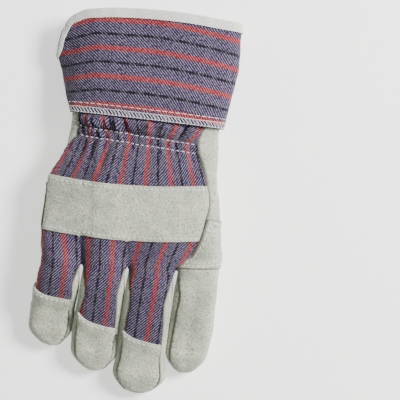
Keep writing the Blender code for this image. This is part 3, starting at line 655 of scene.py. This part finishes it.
def makeLeather(group):  # two hide tones, then nap, specks and painted shade that darkens the hide along its seams
    material, tree, shader = newMaterial("suedeLeather", Roughness=0.93, Sheen_Weight=0.22,
                                         Sheen_Roughness=0.5, Specular_IOR_Level=0.18)
    edge = put(tree, "SeparateXYZ", {0: clothPlace(tree)}).outputs["Z"]
    given = put(tree, "Group", {"Place": objectPlace(tree)}, node_tree=group).outputs
    tone = blendColour(tree, given["Mottle"], hide["cool"], hide["pale"])
    napped = blendColour(tree, ranged(tree, given["Nap"], *hide["napShare"]), tone, hide["napped"])
    specks = calc(tree, "MULTIPLY", given["Speck"], hide["speckShare"])
    specked = blendColour(tree, specks, napped, hide["speck"])
    # painted seam shade: darker within about 1.5 mm of a piece's seam edges
    seamShaded = blendColour(tree, ranged(tree, edge, *hide["seamShadeShare"]), specked, hide["seam"])
    shade(tree, shader, seamShaded, given["Height"], hide["strength"], hide["bump"])
    return material


woven = {"pitch": 0.0185, "stretch": 0.36, "flecks": (1300, 1, 0.5), "wander": (260, 2, 0.5),
         "period": 0.0022, "wanderTurn": 2.5, "redRagged": 0.050, "redRange": (0.068, 0.098, 1.0, 0.0),
         "lineStray": 0.030, "lineRange": (0.040, 0.052, 1.0, 0.0), "dash": 0.0027,
         "dashRange": (-0.8, -0.2, 0.3, 1.0), "fleckShare": 1.7, "fleckRange": (0.64, 0.98)}
twill = {"blue": (0.018, 0.009, 0.042, 1), "pale": (0.212, 0.188, 0.234, 1), "red": (0.165, 0.006, 0.014, 1),
         "redPale": (0.330, 0.115, 0.118, 1), "black": (0.003, 0.005, 0.004, 1),
         "faded": (0.060, 0.052, 0.072, 1), "broad": (70, 4, 0.6), "broadRange": (0.3, 0.7),
         "fadeShare": 0.12, "strength": 0.8, "bump": 0.00020}


# striped twill: the cloth attribute counts stripes across and runs in metres along them
def makeTwillGroup():
    tree, given, out = newGroup("stripedTwill",
                                [("Cloth", "Vector", None), ("Pitch", "Float", woven["pitch"])],
                                ("Red", "Black", "Fleck", "Height"))

    def times(value, factor):
        return calc(tree, "MULTIPLY", value, factor)

    def less(value, amount):
        return calc(tree, "SUBTRACT", value, amount)

    def fromMiddle(value):  # how far a value's fraction lies from one half
        return calc(tree, "ABSOLUTE", less(calc(tree, "FRACT", value), 0.5))
    parts = put(tree, "SeparateXYZ", {0: given["Cloth"]}).outputs
    width = times(parts["X"], given["Pitch"])
    rising, falling = calc(tree, "ADD", width, parts["Y"]), less(width, parts["Y"])
    streak = put(tree, "CombineXYZ", {"X": rising, "Y": times(falling, woven["stretch"])}).outputs[0]
    flecks, wander = noise(tree, streak, *woven["flecks"]), noise(tree, streak, *woven["wander"])
    wave = calc(tree, "SINE", calc(tree, "ADD", times(rising, 2 * pi / woven["period"]),
                                   times(wander, woven["wanderTurn"])))
    ribs = calc(tree, "MULTIPLY_ADD", wave, 0.5, 0.5)
    ragged = calc(tree, "ADD", fromMiddle(calc(tree, "ADD", parts["X"], 0.5)),
                  times(less(flecks, 0.5), woven["redRagged"]))
    strayed = calc(tree, "ADD", fromMiddle(parts["X"]), times(less(wander, 0.5), woven["lineStray"]))
    dash = ranged(tree, calc(tree, "SINE", times(rising, 2 * pi / woven["dash"])), *woven["dashRange"])
    broken = calc(tree, "MULTIPLY_ADD", less(flecks, 0.5), woven["fleckShare"], ribs)
    for name, value in (("Red", ranged(tree, ragged, *woven["redRange"])),
                        ("Black", times(ranged(tree, strayed, *woven["lineRange"]), dash)),
                        ("Fleck", ranged(tree, broken, *woven["fleckRange"])), ("Height", ribs)):
        tree.links.new(value, out[name])
    return tree


def makeCanvas(group):  # blue ground, red stripes and black lines, all flecked
    material, tree, shader = newMaterial("stripedCanvas", Roughness=0.88, Sheen_Weight=0.12,
                                         Sheen_Roughness=0.5, Specular_IOR_Level=0.20)
    given = put(tree, "Group", {"Cloth": clothPlace(tree)}, node_tree=group).outputs
    broad = ranged(tree, noise(tree, objectPlace(tree), *twill["broad"]), *twill["broadRange"])
    ground = blendColour(tree, given["Fleck"], twill["blue"], twill["pale"])
    faded = blendColour(tree, calc(tree, "MULTIPLY", broad, twill["fadeShare"]), ground, twill["faded"])
    reds = blendColour(tree, given["Fleck"], twill["red"], twill["redPale"])
    striped = blendColour(tree, given["Red"], faded, reds)
    lined = blendColour(tree, given["Black"], striped, twill["black"])
    shade(tree, shader, lined, given["Height"], twill["strength"], twill["bump"])
    return material


ribbing = {"slant": 0.9, "period": 0.0021, "ribRange": (-0.9, 0.5, 0.0, 1.0), "dirt": (240, 4, 0.6),
           "dirtRange": (0.3, 0.7), "dirtShare": 0.25, "low": (0.40, 0.41, 0.38, 1),
           "high": (0.78, 0.78, 0.76, 1), "soiled": (0.55, 0.57, 0.50, 1), "strength": 0.6, "bump": 0.00015}


def makeTape():  # diagonal ribs along the binding from its own run and width
    material, tree, shader = newMaterial("bindingTape", Roughness=0.85, Sheen_Weight=0.15,
                                         Specular_IOR_Level=0.2)
    place = clothPlace(tree)
    parts = put(tree, "SeparateXYZ", {0: place}).outputs
    slant = calc(tree, "ADD", parts["X"], calc(tree, "MULTIPLY", parts["Y"], ribbing["slant"]))
    ribs = calc(tree, "SINE", calc(tree, "MULTIPLY", slant, 2 * pi / ribbing["period"]))
    dirt = ranged(tree, noise(tree, place, *ribbing["dirt"]), *ribbing["dirtRange"])
    base = blendColour(tree, ranged(tree, ribs, *ribbing["ribRange"]), ribbing["low"], ribbing["high"])
    toned = blendColour(tree, calc(tree, "MULTIPLY", dirt, ribbing["dirtShare"]), base, ribbing["soiled"])
    shade(tree, shader, toned, ribs, ribbing["strength"], ribbing["bump"])
    return material


yarn = {"fuzz": (2400, 2, 0.6), "range": (0.35, 0.65), "low": (0.66, 0.68, 0.66, 1),
        "high": (0.90, 0.91, 0.90, 1)}


def makeThreadMaterial():  # two whites mixed by a fine fuzz
    material, tree, shader = newMaterial("thread", Roughness=0.6, Sheen_Weight=0.1)
    fuzz = noise(tree, objectPlace(tree), *yarn["fuzz"])
    shade(tree, shader, blendColour(tree, ranged(tree, fuzz, *yarn["range"]), yarn["low"], yarn["high"]))
    return material


# stitches: a path inset from an edge of a piece's grid, dashes along it, one small capsule a dash
def insetPath(surface, distance, side, low=0.0, high=1.0):
    grid, axis, turned = surface[0], 0 if side in ("top", "bottom") else 1, side in ("bottom", "right")
    run = pathLengths(grid, axis)
    lengths = run if axis == 0 else run.T
    lengths = (lengths[-1:] - lengths)[::-1] if turned else lengths
    along = np.arange(lengths.shape[1])
    along = along[(along >= low * along[-1]) & (along <= high * along[-1])]
    at = np.clip((lengths[:, along] < distance).sum(axis=0), 1, len(lengths) - 1)
    before, after = lengths[at - 1, along], lengths[at, along]
    place = at - 1 + np.clip((distance - before) / (after - before + 1e-9), 0, 1)
    place = len(lengths) - 1 - place if turned else place
    return layOn(surface, place, along) if axis == 0 else layOn(surface, along, place)


def layOn(surface, rows, columns):  # points and outward directions at fractional grid places
    def sample(grid):
        r = np.clip(np.floor(rows).astype(int), 0, grid.shape[0] - 2)
        c = np.clip(np.floor(columns).astype(int), 0, grid.shape[1] - 2)
        s, t = (rows - r)[:, None], (columns - c)[:, None]
        return ((grid[r, c] * (1 - s) + grid[r + 1, c] * s) * (1 - t)
                + (grid[r, c + 1] * (1 - s) + grid[r + 1, c + 1] * s) * t)
    outer, inner = sample(surface[0]), sample(surface[1])
    out = outer - inner
    return outer, out / (np.linalg.norm(out, axis=1, keepdims=True) + 1e-12)


def dashed(path, length, pitch):  # starts, ends and directions at equal steps along a path
    points, out = path
    run = np.concatenate(([0], np.cumsum(np.linalg.norm(np.diff(points, axis=0), axis=1))))
    count = max(int((run[-1] - length) / pitch), 1)
    first = (run[-1] - (count - 1) * pitch - length) / 2 + pitch * np.arange(count)

    def at(place, values):
        return np.stack([np.interp(place, run, values[:, axis]) for axis in range(3)], axis=1)
    return at(first, points), at(first + length, points), at(first + length / 2, out)


# a stitch is a capsule of rings, thin at both ends, with its middle arched over the cloth
capsule = {"along": np.array((-1.0, -0.82, -0.3, 0.3, 0.82, 1.0)),
           "girth": np.array((0.15, 0.75, 1.0, 1.0, 0.75, 0.15)), "sides": 6}


def makeThreads(name, groups, size, material):  # half along * t + outwards * arch + the ring's circle
    heads, tails, out = (np.concatenate([group[k] for group in groups]) for k in range(3))
    half = (tails - heads) / 2
    side = np.cross(half, out)
    side /= np.linalg.norm(side, axis=1, keepdims=True) + 1e-12
    t, girth = capsule["along"], capsule["girth"] * size["width"] / 2
    arch = size["height"] * (1 - t ** 4) - size["sink"]
    turn = np.linspace(0, 2 * pi, capsule["sides"], endpoint=False)
    middle = (heads + tails)[:, None, None] / 2
    points = (middle + half[:, None, None] * t[None, :, None, None]
              + out[:, None, None] * (arch[:, None] + girth[:, None] * np.sin(turn))[None, :, :, None]
              + side[:, None, None] * (girth[:, None] * np.cos(turn))[None, :, :, None])
    count = len(t) * capsule["sides"]
    index = np.arange(count).reshape(len(t), capsule["sides"])
    ahead = np.roll(index, -1, axis=1)
    tube = np.stack((index[:-1], ahead[:-1], ahead[1:], index[1:]), -1).reshape(-1, 4)
    steps = count * np.arange(len(heads))[:, None, None]
    faces = (tube[None] + steps).reshape(-1, 4).tolist()
    faces += (index[0][None, ::-1] + steps[:, 0]).tolist() + (index[-1][None] + steps[:, 0]).tolist()
    return meshPiece(name, points.reshape(-1, 3) + settled, faces, material, sharp=80)


def fingerAlong(name, points):  # distance from the finger's root along its leaning axis, and across
    lean = math.radians(glove["lean"][name])
    rootX, rootY = rootPlace(name)
    x, y = points[..., 0] - rootX, points[..., 1] - rootY
    return x * math.sin(lean) - y * math.cos(lean), x * math.cos(lean) + y * math.sin(lean)


# x with the steep ulnar side laid flat: there the run down the side counts too
def unrolled(grid, columns=15, gentle=1.25):
    step = np.diff(grid[:, :columns + 1], axis=1)
    steep = np.maximum(np.hypot(step[..., 0], step[..., 2]) - gentle * np.abs(step[..., 0]), 0)
    x = grid[..., 0].copy()
    x[:, :columns] -= np.cumsum(steep[:, ::-1], axis=1)[:, ::-1]
    return x


def fingerStripe(name, points):  # the stripes of the finger roots, carried along the finger
    along, side = fingerAlong(name, points)
    if name == "pinky":
        side = side + unrolled(points) - points[..., 0]
    return stripeAt(rootPlace(name)[0] + side + stripes["fingerLean"] * along, np.zeros_like(side))


def planData(grid, edge):  # cloth coordinates of leather: its place, and how far an edge is
    return stacked(grid[..., 0], grid[..., 1], edge)


panel = {"crowd": 0.2, "seamFrom": 0.3, "seamOver": 0.006, "joined": (0, 0.12)}


# a panel over the hand: its form, how far its seams are, its relief and its outer and inner grids
def handPanel(under, count, thick, lifted):
    rows = edgeSpaced(count, crowd=panel["crowd"])
    form = handGrid(under, rows)
    edge = edgeDistance(form, ("left", "right"))
    height = seamed(lifted(form), edge, pathLengths(form, 0), seams["panel"])
    return form, edge, height, [handGrid(under, rows, deep - height) for deep in (0, thick)]


# a finger of that panel, whose relief starts as the hand's and whose first row is the hand's last
def fingerPanel(name, under, rows, thick, lifted, seam, height, hand):
    form, columns = fingerGrid(name, under, rows), columnsOf[name]
    along, edge = fingerAlong(name, form)[0], edgeDistance(form, ("left", "right"))
    lift = seamed(lifted(form, along), edge, along, seam, ease(along / panel["seamOver"] + panel["seamFrom"]))
    joined = ramp(rows, panel["joined"])
    lift = height[-1, columns] * (1 - joined) + lift * joined
    grids = [fingerGrid(name, under, rows, deep - lift) for deep in (0, thick)]
    for grid, whole in zip(grids, hand):
        grid[0] = whole[-1, columns]
    return form, along, edge, grids


# finger rows where the canvas stops: from and to shares of the length, later on the thumb side
canvasEnd = {"pinky": (0.25, 0.41), "ring": (0.45, 0.57), "middle": (0.50, 0.58)}
canvasLook = {"hand": 150, "finger": 56, "tuck": 0.03, "bow": 2.3, "folds": (0, 0.012), "dents": 0.6}


def canvasEndRow(name):  # from + (to - from) * (1 - (1 - share) ^ bow)
    start, stop = canvasEnd[name]
    body = glove["length"][name] - glove["width"][name] * glove["tipShare"]
    bow = 1 - (1 - across[name]) ** canvasLook["bow"]
    return (start + (stop - start) * bow) * glove["length"][name] / body


def fingerFolds(form, along):  # the hand's relief at the finger roots dies out along the fingers
    folds = backRelief(form * (1, 0, 1)) * (1 - ramp(along, canvasLook["folds"]))
    return folds + leatherRelief(form, 3) * canvasLook["dents"]


def makeBackCanvas(material):  # the hand, then three fingers up to their caps
    form, edge, height, hand = handPanel(False, canvasLook["hand"], cloth["canvas"], backRelief)
    data = stacked(stripeAt(unrolled(form), form[..., 1]), -form[..., 1], edge)
    patches = [(*hand, data)]
    for name in canvasEnd:
        rows = np.linspace(0, 1, canvasLook["finger"])[:, None] * (canvasEndRow(name) + canvasLook["tuck"])
        form, along, edge, grids = fingerPanel(name, False, rows, cloth["canvas"], fingerFolds,
                                               seams["canvasFinger"], height, hand)
        places = stacked(fingerStripe(name, form), along, edge)
        places[0] = data[-1, columnsOf[name]]
        patches.append((*grids, places))
    return wallPiece("backCanvas", patches, material), hand


capLook = {"rows": 70, "crowd": 0.5, "lip": (0.002, 0.010), "roll": (0.0012, 0.0006), "seam": (0, 0.004),
           "under": 0.6, "follow": 0.4}


def makeTips(material):  # caps that start raised by their own thickness and sink into the finger
    made = {}
    for name in canvasEnd:
        start = canvasEndRow(name)
        rows = start + (2 - start) * edgeSpaced(capLook["rows"], crowd=capLook["crowd"])[:, None]
        form = fingerGrid(name, False, rows)
        side, lip = edgeDistance(form, ("left", "right")), edgeDistance(form, ("top",))
        raised = layer * (1 - ramp(lip, capLook["lip"])) - rolled(lip, *capLook["roll"])
        lift = seamed(leatherRelief(form, 1) + raised, side, pathLengths(form, 0), seams["cap"],
                      ramp(lip, capLook["seam"]))
        below = cloth["leather"] - capLook["under"] * raised - lift * capLook["follow"]
        grids = [fingerGrid(name, False, rows, depth) for depth in (-lift, below)]
        made[name] = (wallPiece(name + "Cap", [(*grids, planData(form, side))], material), grids)
    return made


palmLook = {"hand": 120, "body": 50, "tip": 26, "crowd": 0.5}


def makePalm(material):  # the hand, then four fingers up to their ends
    form, edge, height, hand = handPanel(True, palmLook["hand"], cloth["leather"],
                                         lambda points: leatherRelief(points, 2))
    patches = [(*hand, planData(form, edge))]
    rows = np.concatenate((np.linspace(0, 1, palmLook["body"]),
                           1 + edgeSpaced(palmLook["tip"], crowd=palmLook["crowd"])[1:]))[:, None]
    for name in glove["fingers"]:
        form, _, edge, grids = fingerPanel(name, True, rows, cloth["leather"],
                                           lambda points, along: leatherRelief(points, 4),
                                           seams["leatherFinger"], height, hand)
        patches.append((*grids, planData(form, edge)))
    return wallPiece("palmLeather", patches, material)


sideLook = {"body": 46, "tip": 16, "columns": 13, "length": 0.045, "bulge": 0.0006, "over": (0, 0.012),
            "below": 0.0004}


# side strip: from one finger's end round the web to the other's, a little bowed outwards
def makeFourchette(left, right, material):
    closing = 1 + (glove["sideEnd"] - 1) * np.linspace(0, 1, sideLook["tip"])[1:]
    rows = np.concatenate((np.linspace(0, 1, sideLook["body"]), closing))[:, None]
    share = np.linspace(1, -1, sideLook["columns"])[None, :]
    along = np.minimum(rows, 1) * sideLook["length"]
    bulge = sideLook["bulge"] * (1 - share ** 2) * ramp(along, sideLook["over"]) - sideLook["below"]
    full = swell(sideAngle(rows) * share, rows) + bulge

    def form(deep):
        near = fingerPoint(left, rows, sideAngle(rows) * share, deep - full)
        web = crotchPoint(left, right, sideAngle(0.0) * share, deep)
        far = fingerPoint(right, rows, pi - sideAngle(rows) * share, deep - full)
        return np.concatenate((near[::-1], web, far))
    outer, inner = form(0.0), form(cloth["leather"])
    data = planData(outer, edgeDistance(outer, ("left", "right")))
    return wallPiece(f"side{left.title()}{right.title()}", [(outer, inner, data)], material)


strapLook = {"rows": 64, "crowd": 0.7, "depth": 0.0385, "sewn": (0, 0.006), "thin": (0.35, 0.65),
             "roll": (0.0016, 0.0004), "endRoll": (0.0016, 0.0006)}


def makeStrap(material):  # a band over the canvas, pressed thin where its ends are sewn in
    coarse = handGrid(False, coarseRows)
    line, half = edgeLine(strapTable, coarse), strapLook["depth"] / 2
    rows = rowsBetween(coarse, line + half, line - half, strapLook["rows"], strapLook["crowd"])
    form = handGrid(False, rows)
    under = backRelief(form)
    edge = edgeDistance(form, ("top", "bottom", "left", "right"))
    ends = edgeDistance(form, ("left", "right"))
    sewn, (thin, more) = ramp(ends, strapLook["sewn"]), strapLook["thin"]
    lift = (under + cloth["gap"] + cloth["leather"] * (thin + more * sewn)
            + leatherRelief(form, 5) * ramp(edge, strapLook["sewn"]) - rolled(edge, *strapLook["roll"])
            - rolled(ends, *strapLook["endRoll"]))
    grids = [handGrid(False, rows, depth) for depth in (-lift, -under - cloth["gap"] * sewn)]
    return wallPiece("knuckleStrap", [(*grids, planData(form, ends))], material), grids


patchLook = {"rows": 60, "crowd": 0.6, "clear": 0.30, "above": 0.195, "dents": (0, 0.006),
             "roll": (0.0016, 0.0007)}


# palm patch: its upper edge passes below the thumb's root, its ends lie in the palm's side seams
def makePatch(material):
    coarse = handGrid(True, coarseRows)
    corners = thumbPoint(np.array(1.0), np.array((0.0, -pi)), 0.0)
    (rightX, rightY), (leftX, leftY) = corners[:, :2]
    x, clear = coarse[len(coarse) // 2, :, 0], patchLook["clear"] * glove["thumbWidth"]
    thumbLine = np.interp(x, (leftX, rightX, rightX + clear), (leftY, rightY, rightY + clear))
    beside = (x > leftX - clear) & (x < rightX + clear)
    top = edgeLine(patchTopTable, coarse)
    top = np.where(beside, np.minimum(top, thumbLine - patchLook["above"] * glove["thumbWidth"]), top)
    rows = rowsBetween(coarse, top, edgeLine(patchBottomTable, coarse), patchLook["rows"], patchLook["crowd"])
    form = handGrid(True, rows)
    under = leatherRelief(form, 2)
    edge = edgeDistance(form, ("top", "bottom", "left", "right"))
    lift = under + layer + leatherRelief(form, 6) * ramp(edge, patchLook["dents"])
    lift = lift - rolled(edge, *patchLook["roll"])
    grids = [handGrid(True, rows, depth) for depth in (-lift, -under - cloth["gap"])]
    return wallPiece("palmPatch", [(*grids, planData(form, edge))], material), grids


thumbLook = {"hood": 40, "body": 36, "tip": 24, "columns": 41, "rest": 0.004, "roll": (0.0022, 0.0008)}


def makeThumb(material):  # the underside runs from the hood on, the upper side from the tube on
    rows = np.concatenate((np.linspace(0, 1, thumbLook["hood"]), 1 + np.linspace(0, 1, thumbLook["body"])[1:],
                           2 + edgeSpaced(thumbLook["tip"])[1:]))[:, None]
    patches = []
    for line, start in ((rows, -pi), (rows[rows[:, 0] >= 1], 0)):
        angles = np.linspace(start, start + pi, thumbLook["columns"])[None, :]
        form = thumbPoint(line, angles, 0.0)
        edge = edgeDistance(form, ("left", "right"))
        height = leatherRelief(form, 7) * np.clip(form[..., 2] / thumbLook["rest"], 0, 1)
        height = height - rolled(edge, *thumbLook["roll"])
        grids = [thumbPoint(line, angles, deep - height) for deep in (0, cloth["leather"])]
        patches.append((*grids, planData(form, edge)))
    return wallPiece("thumb", patches, material)


cuffLook = {"rows": 78, "columns": 320, "crowd": 0.3, "crease": -0.0238, "creaseLean": 0.06, "creaseAt": 0.14,
            "soft": 0.006, "slope": 0.11, "rise": 0.030, "upper": 2.5, "rest": (0.001, 0.004)}
cuffStripes = {"first": 0.100, "pitch": 0.267, "rightDrop": 0.110, "rightFrom": 0.011, "rightOver": 0.059,
               "power": 1.5, "leftDrop": 0.100, "leftSoft": 0.003, "leftOver": 0.027, "spread": (0.55, 0.5)}


def cuffStripe(points):  # stripes count the height above the lower edge, and droop towards both sides
    x, y = points[..., 0], points[..., 1]
    low = wristEnd(x) - glove["wristOverlap"]
    rise = (y - low) / (glove["cuffLength"] - glove["cuffTilt"] * glove["hemLevel"] * x)
    outwards = np.maximum(x - cuffStripes["rightFrom"], 0) / cuffStripes["rightOver"]
    right = cuffStripes["rightDrop"] * outwards ** cuffStripes["power"]
    left = (cuffStripes["leftDrop"] * softened(cuffLook["crease"] - x, cuffStripes["leftSoft"])
            / cuffStripes["leftOver"])
    least, more = cuffStripes["spread"]
    return (rise + (right + left) * (least + more * rise) - cuffStripes["first"]) / cuffStripes["pitch"]


# dents, the fall of the upper cloth beyond a soft crease near the ulnar side, nothing on the floor
def cuffRelief(points, upper):
    x, y = points[..., 0], points[..., 1]
    crease = cuffLook["crease"] + cuffLook["creaseLean"] * (y - cuffLook["creaseAt"])
    rise = ease((y - wristEnd(x) + glove["wristOverlap"]) / cuffLook["rise"])
    fall = upper * rise * cuffLook["slope"] * softened(crease - x, cuffLook["soft"])
    start, over = cuffLook["rest"]
    return (dents(points, cuffDents) - fall) * np.clip((points[..., 2] - start) / over, 0, 1)


def upperShare(angles):  # 1 on the upper side, 0 on the underside
    return np.clip(np.sin(angles) * cuffLook["upper"], 0, 1)


def makeCuff(material):  # rings from the wrist to the hem, in one turn
    rows = edgeSpaced(cuffLook["rows"], crowd=cuffLook["crowd"])[:, None]
    angles = np.linspace(-pi, pi, cuffLook["columns"] + 1)[None, ::-1]
    form = cuffPoint(rows, angles, 0.0)
    lift = cuffRelief(form, upperShare(angles))
    grids = [cuffPoint(rows, angles, deep - lift) for deep in (0, cloth["canvas"])]
    around = pathLengths(form, 1)[cuffLook["rows"] // 2]
    data = stacked(cuffStripe(form), around, edgeDistance(form, ("top", "bottom")))
    return wallPiece("cuffCanvas", [(*grids, data)], material), grids


bindingLook = {"width": 0.0054, "straight": 0.5, "fold": 9, "bulge": 0.0002, "columns": 360}


# a tape folded over the hem: its section in depth and height, swept round the cuff's mouth
def makeBinding(material):
    wall, gap, thick, slack = cloth["canvas"], cloth["gap"], cloth["binding"], 2 * cloth["gap"]
    width, straight = bindingLook["width"], bindingLook["straight"]
    turn = np.linspace(0, pi, bindingLook["fold"])
    middle, half = wall / 2, wall / 2 + gap + thick
    fold = np.stack((middle - half * np.cos(turn), slack + (thick + bindingLook["bulge"]) * np.sin(turn)), 1)
    section = np.concatenate((((-gap - thick, -width), (-gap - thick, -width * straight)), fold,
                              ((wall + gap + thick, -width * straight), (wall + gap + thick, -width)),
                              ((wall + gap, -width), (wall + gap, slack), (-gap, slack), (-gap, -width))))
    angles = np.linspace(-pi, pi, bindingLook["columns"], endpoint=False)[None, :]
    rows = 1 + section[:, 1:] / glove["cuffLength"]
    lift = cuffRelief(cuffPoint(rows, angles, 0.0), upperShare(angles))
    ring = cuffPoint(rows, angles, section[:, :1] - lift)
    data = stacked(pathLengths(ring, 1)[:1], pathLengths(ring, 0), 0)
    index = np.arange(lift.size).reshape(lift.shape)
    below, right = np.roll(index, -1, axis=0), np.roll(index, -1, axis=1)
    faces = np.stack((index, right, np.roll(below, -1, axis=1), below), -1).reshape(-1, 4)
    return meshPiece("cuffBinding", ring.reshape(-1, 3) + settled, faces.tolist(), material,
                     data.reshape(-1, 3))


tab = {"width": 0.0420, "depth": 0.0260, "corner": 0.0120, "rows": 30, "columns": 45, "angles": 41,
       "roll": (0.0014, 0.0006)}


# tab under the cuff: straight sides from the wrist, then quarter-round corners
def makeTab(material):
    coarse = cuffPoint(coarseRows[:, None], np.linspace(-pi, 0, tab["angles"])[None, :], 0.0)
    middles, halves = (coarse[:, -1, 0] + coarse[:, 0, 0]) / 2, (coarse[:, -1, 0] - coarse[:, 0, 0]) / 2
    columns = np.linspace(-1, 1, tab["columns"]) * tab["width"] / 2
    corner = tab["corner"] - np.clip(tab["width"] / 2 - np.abs(columns), 0, tab["corner"])
    height = tab["depth"] - tab["corner"] + np.sqrt(np.maximum(tab["corner"] ** 2 - corner ** 2, 0))
    share = np.linspace(0, 1, tab["rows"])[:, None] * (height / glove["cuffLength"])[None, :]
    middle, half = (np.interp(share, coarseRows, values) for values in (middles, halves))
    angle = -angleAt(middles[0] + columns[None, :], middle, half)
    form = cuffPoint(share, angle, 0.0)
    edge = edgeDistance(form, ("bottom", "left", "right"))
    lift = np.maximum(cuffRelief(form, 0.0), 0)
    grids = [cuffPoint(share, angle, -layer - lift + rolled(edge, *tab["roll"])),
             cuffPoint(share, angle, -cloth["gap"] - lift)]
    return wallPiece("pulseTab", [(*grids, planData(form, edge))], material), grids


print("forms ready")
leather, canvas = makeLeather(makeHideGroup()), makeCanvas(makeTwillGroup())
tape, thread = makeTape(), makeThreadMaterial()
print("materials made")

backCanvas, backSurface = makeBackCanvas(canvas)
finishPiece(backCanvas, "canvas", "back_panel", "finger_backs")
caps = makeTips(leather)
for name in canvasEnd:
    finishPiece(caps[name][0], "leather", name + "_tip")
finishPiece(makePalm(leather), "leather", "palm_panel", "pinky_front", "ring_front", "middle_front",
            "index_finger")
for left, right in zip(glove["fingers"], glove["fingers"][1:]):
    finishPiece(makeFourchette(left, right, leather), "leather", f"fourchette_{left}_{right}")
strap, strapSurface = makeStrap(leather)
finishPiece(strap, "leather", "knuckle_strap")
palmPatch, patchSurface = makePatch(leather)
finishPiece(palmPatch, "leather", "palm_patch")
finishPiece(makeThumb(leather), "leather", "thumb")
cuff, cuffSurface = makeCuff(canvas)
finishPiece(cuff, "canvas", "cuff_shell")
finishPiece(makeBinding(tape), "binding", "cuff_binding")
pulseTab, tabSurface = makeTab(leather)
finishPiece(pulseTab, "leather", "pulse_patch")
print("pieces made")


def heightPath(surface, heights):  # a path across a grid at given heights, one a column
    grid = surface[0]
    columns = np.arange(grid.shape[1])
    rows = np.array([np.interp(-heights[c], -grid[:, c, 1], np.arange(len(grid))) for c in columns])
    return layOn(surface, rows, columns)


# a thread's sizes, each seam's stitch length and pitch, and the rows' distances from the edges
threads = {"dash": {"width": 0.00064, "height": 0.00030, "sink": 0.00005},
           "fine": {"width": 0.00050, "height": 0.00022, "sink": 0.00008},
           "stroke": {"width": 0.00042, "height": 0.00018, "sink": 0.00008}}
pace = {"strap": (0.0024, 0.0036), "patch": (0.0022, 0.0034), "tab": (0.0020, 0.0030),
        "shirring": (0.0024, 0.0037), "border": (0.0022, 0.0025), "cuff": (0.0039, 0.0046),
        "overlock": (0.0001, 0.0025)}
leatherRows = ((0.0038, "bottom"), (0.0090, "bottom"), (0.0028, "top"), (0.0084, "top"))
tabRows = ((0.0020, "bottom"), (0.0016, "top"), (0.0042, "top"))
sewing = {"strap": 0.0026, "cap": 0.0024, "patchEnd": (0.0030, "right", 0.05, 0.9), "shirringRow": 60,
          "overlock": (0.0006, 0.0044), "cuff": 0.0072}


def makeSewing():  # every row of stitches, in three pieces
    def rowOn(surface, kind, *place):
        return dashed(insetPath(surface, *place), *pace[kind])
    onLeather = [rowOn(strapSurface, "strap", sewing["strap"], side) for side in ("top", "bottom")]
    onLeather += [rowOn(caps[name][1], "strap", sewing["cap"], "top") for name in canvasEnd]
    onLeather += [rowOn(patchSurface, "patch", *place) for place in (*leatherRows, sewing["patchEnd"])]
    onLeather += [rowOn(tabSurface, "tab", *place) for place in tabRows]
    x = backSurface[0][sewing["shirringRow"], :, 0]
    shirring = [dashed(heightPath(backSurface, shirrLine(x, which)), *pace["shirring"]) for which in (0, 1)]
    borders = [rowOn(cuffSurface, "border", distance, "top") for distance in sewing["overlock"]]
    (low, out), (high, _) = (insetPath(cuffSurface, distance, "top") for distance in sewing["overlock"])
    feet, tops = (dashed((points, out), *pace["overlock"]) for points in (low, high))
    count = min(len(feet[0]), len(tops[0]))
    strokes = (feet[0][:count], np.roll(tops[0], 1, axis=0)[:count], feet[2][:count])
    topstitch = rowOn(cuffSurface, "cuff", sewing["cuff"], "top")
    for name, groups, size in (("leatherStitches", onLeather, "dash"), ("shirringStitches", shirring, "fine"),
                               ("cuffStitches", [topstitch, *borders, strokes], "stroke")):
        finishPiece(makeThreads(name, groups, threads[size], thread), "binding")


makeSewing()
print("stitches made")

view = {"centre": (0.0436, 0.0005), "height": 1.22, "field": 0.280, "target": 0.020, "sensor": 36.0}
floorLook = {"half": 3, "white": (0.95, 0.95, 0.95, 1), "rough": 0.9, "glow": (1, 1, 1, 1), "strength": 0.85}
sky = {"Color": (0.90, 1.0, 0.90, 1), "Strength": 0.24}
lamps = {"key": {"at": (1.05, 0.42, 1.00), "watts": 62, "size": 0.5},
         "top": {"at": (0.1, -0.2, 1.6), "watts": 5, "size": 1.0}}
lampColour = (1.0, 0.985, 0.97)


def makeCamera():  # straight down, with the lens that fits the field at the glove's height
    data = bpy.data.cameras.new("camera")
    data.sensor_width = view["sensor"]
    data.lens = view["sensor"] * (view["height"] - view["target"]) / view["field"]
    camera = placed("camera", data)
    camera.location = (*view["centre"], view["height"])
    bpy.context.scene.camera = camera


def makeFloor():  # a white square that glows a little
    half = floorLook["half"]
    mesh = bpy.data.meshes.new("floor")
    corners = [(-half, -half, 0), (half, -half, 0), (half, half, 0), (-half, half, 0)]
    mesh.from_pydata(corners, [], [(0, 1, 2, 3)])
    mesh.materials.append(newMaterial("floorWhite", Base_Color=floorLook["white"],
                                      Roughness=floorLook["rough"],
                                      Emission_Color=floorLook["glow"],
                                      Emission_Strength=floorLook["strength"])[0])
    floor = placed("floor", mesh)


def makeLights():  # a soft sky and two square lamps that face the origin
    world = bpy.data.worlds.new("studio")
    world.use_nodes = True
    for key, value in sky.items():
        world.node_tree.nodes["Background"].inputs[key].default_value = value
    bpy.context.scene.world = world
    for name, lamp in lamps.items():
        data = bpy.data.lights.new(name, "AREA")
        data.energy, data.size, data.color = lamp["watts"], lamp["size"], lampColour
        light = placed(name, data)
        light.location = lamp["at"]
        light.rotation_euler = (-Vector(lamp["at"])).to_track_quat("-Z", "Y").to_euler()


makeCamera()
makeFloor()
makeLights()
print("camera, floor and lights made")
bpy.context.view_layer.update()
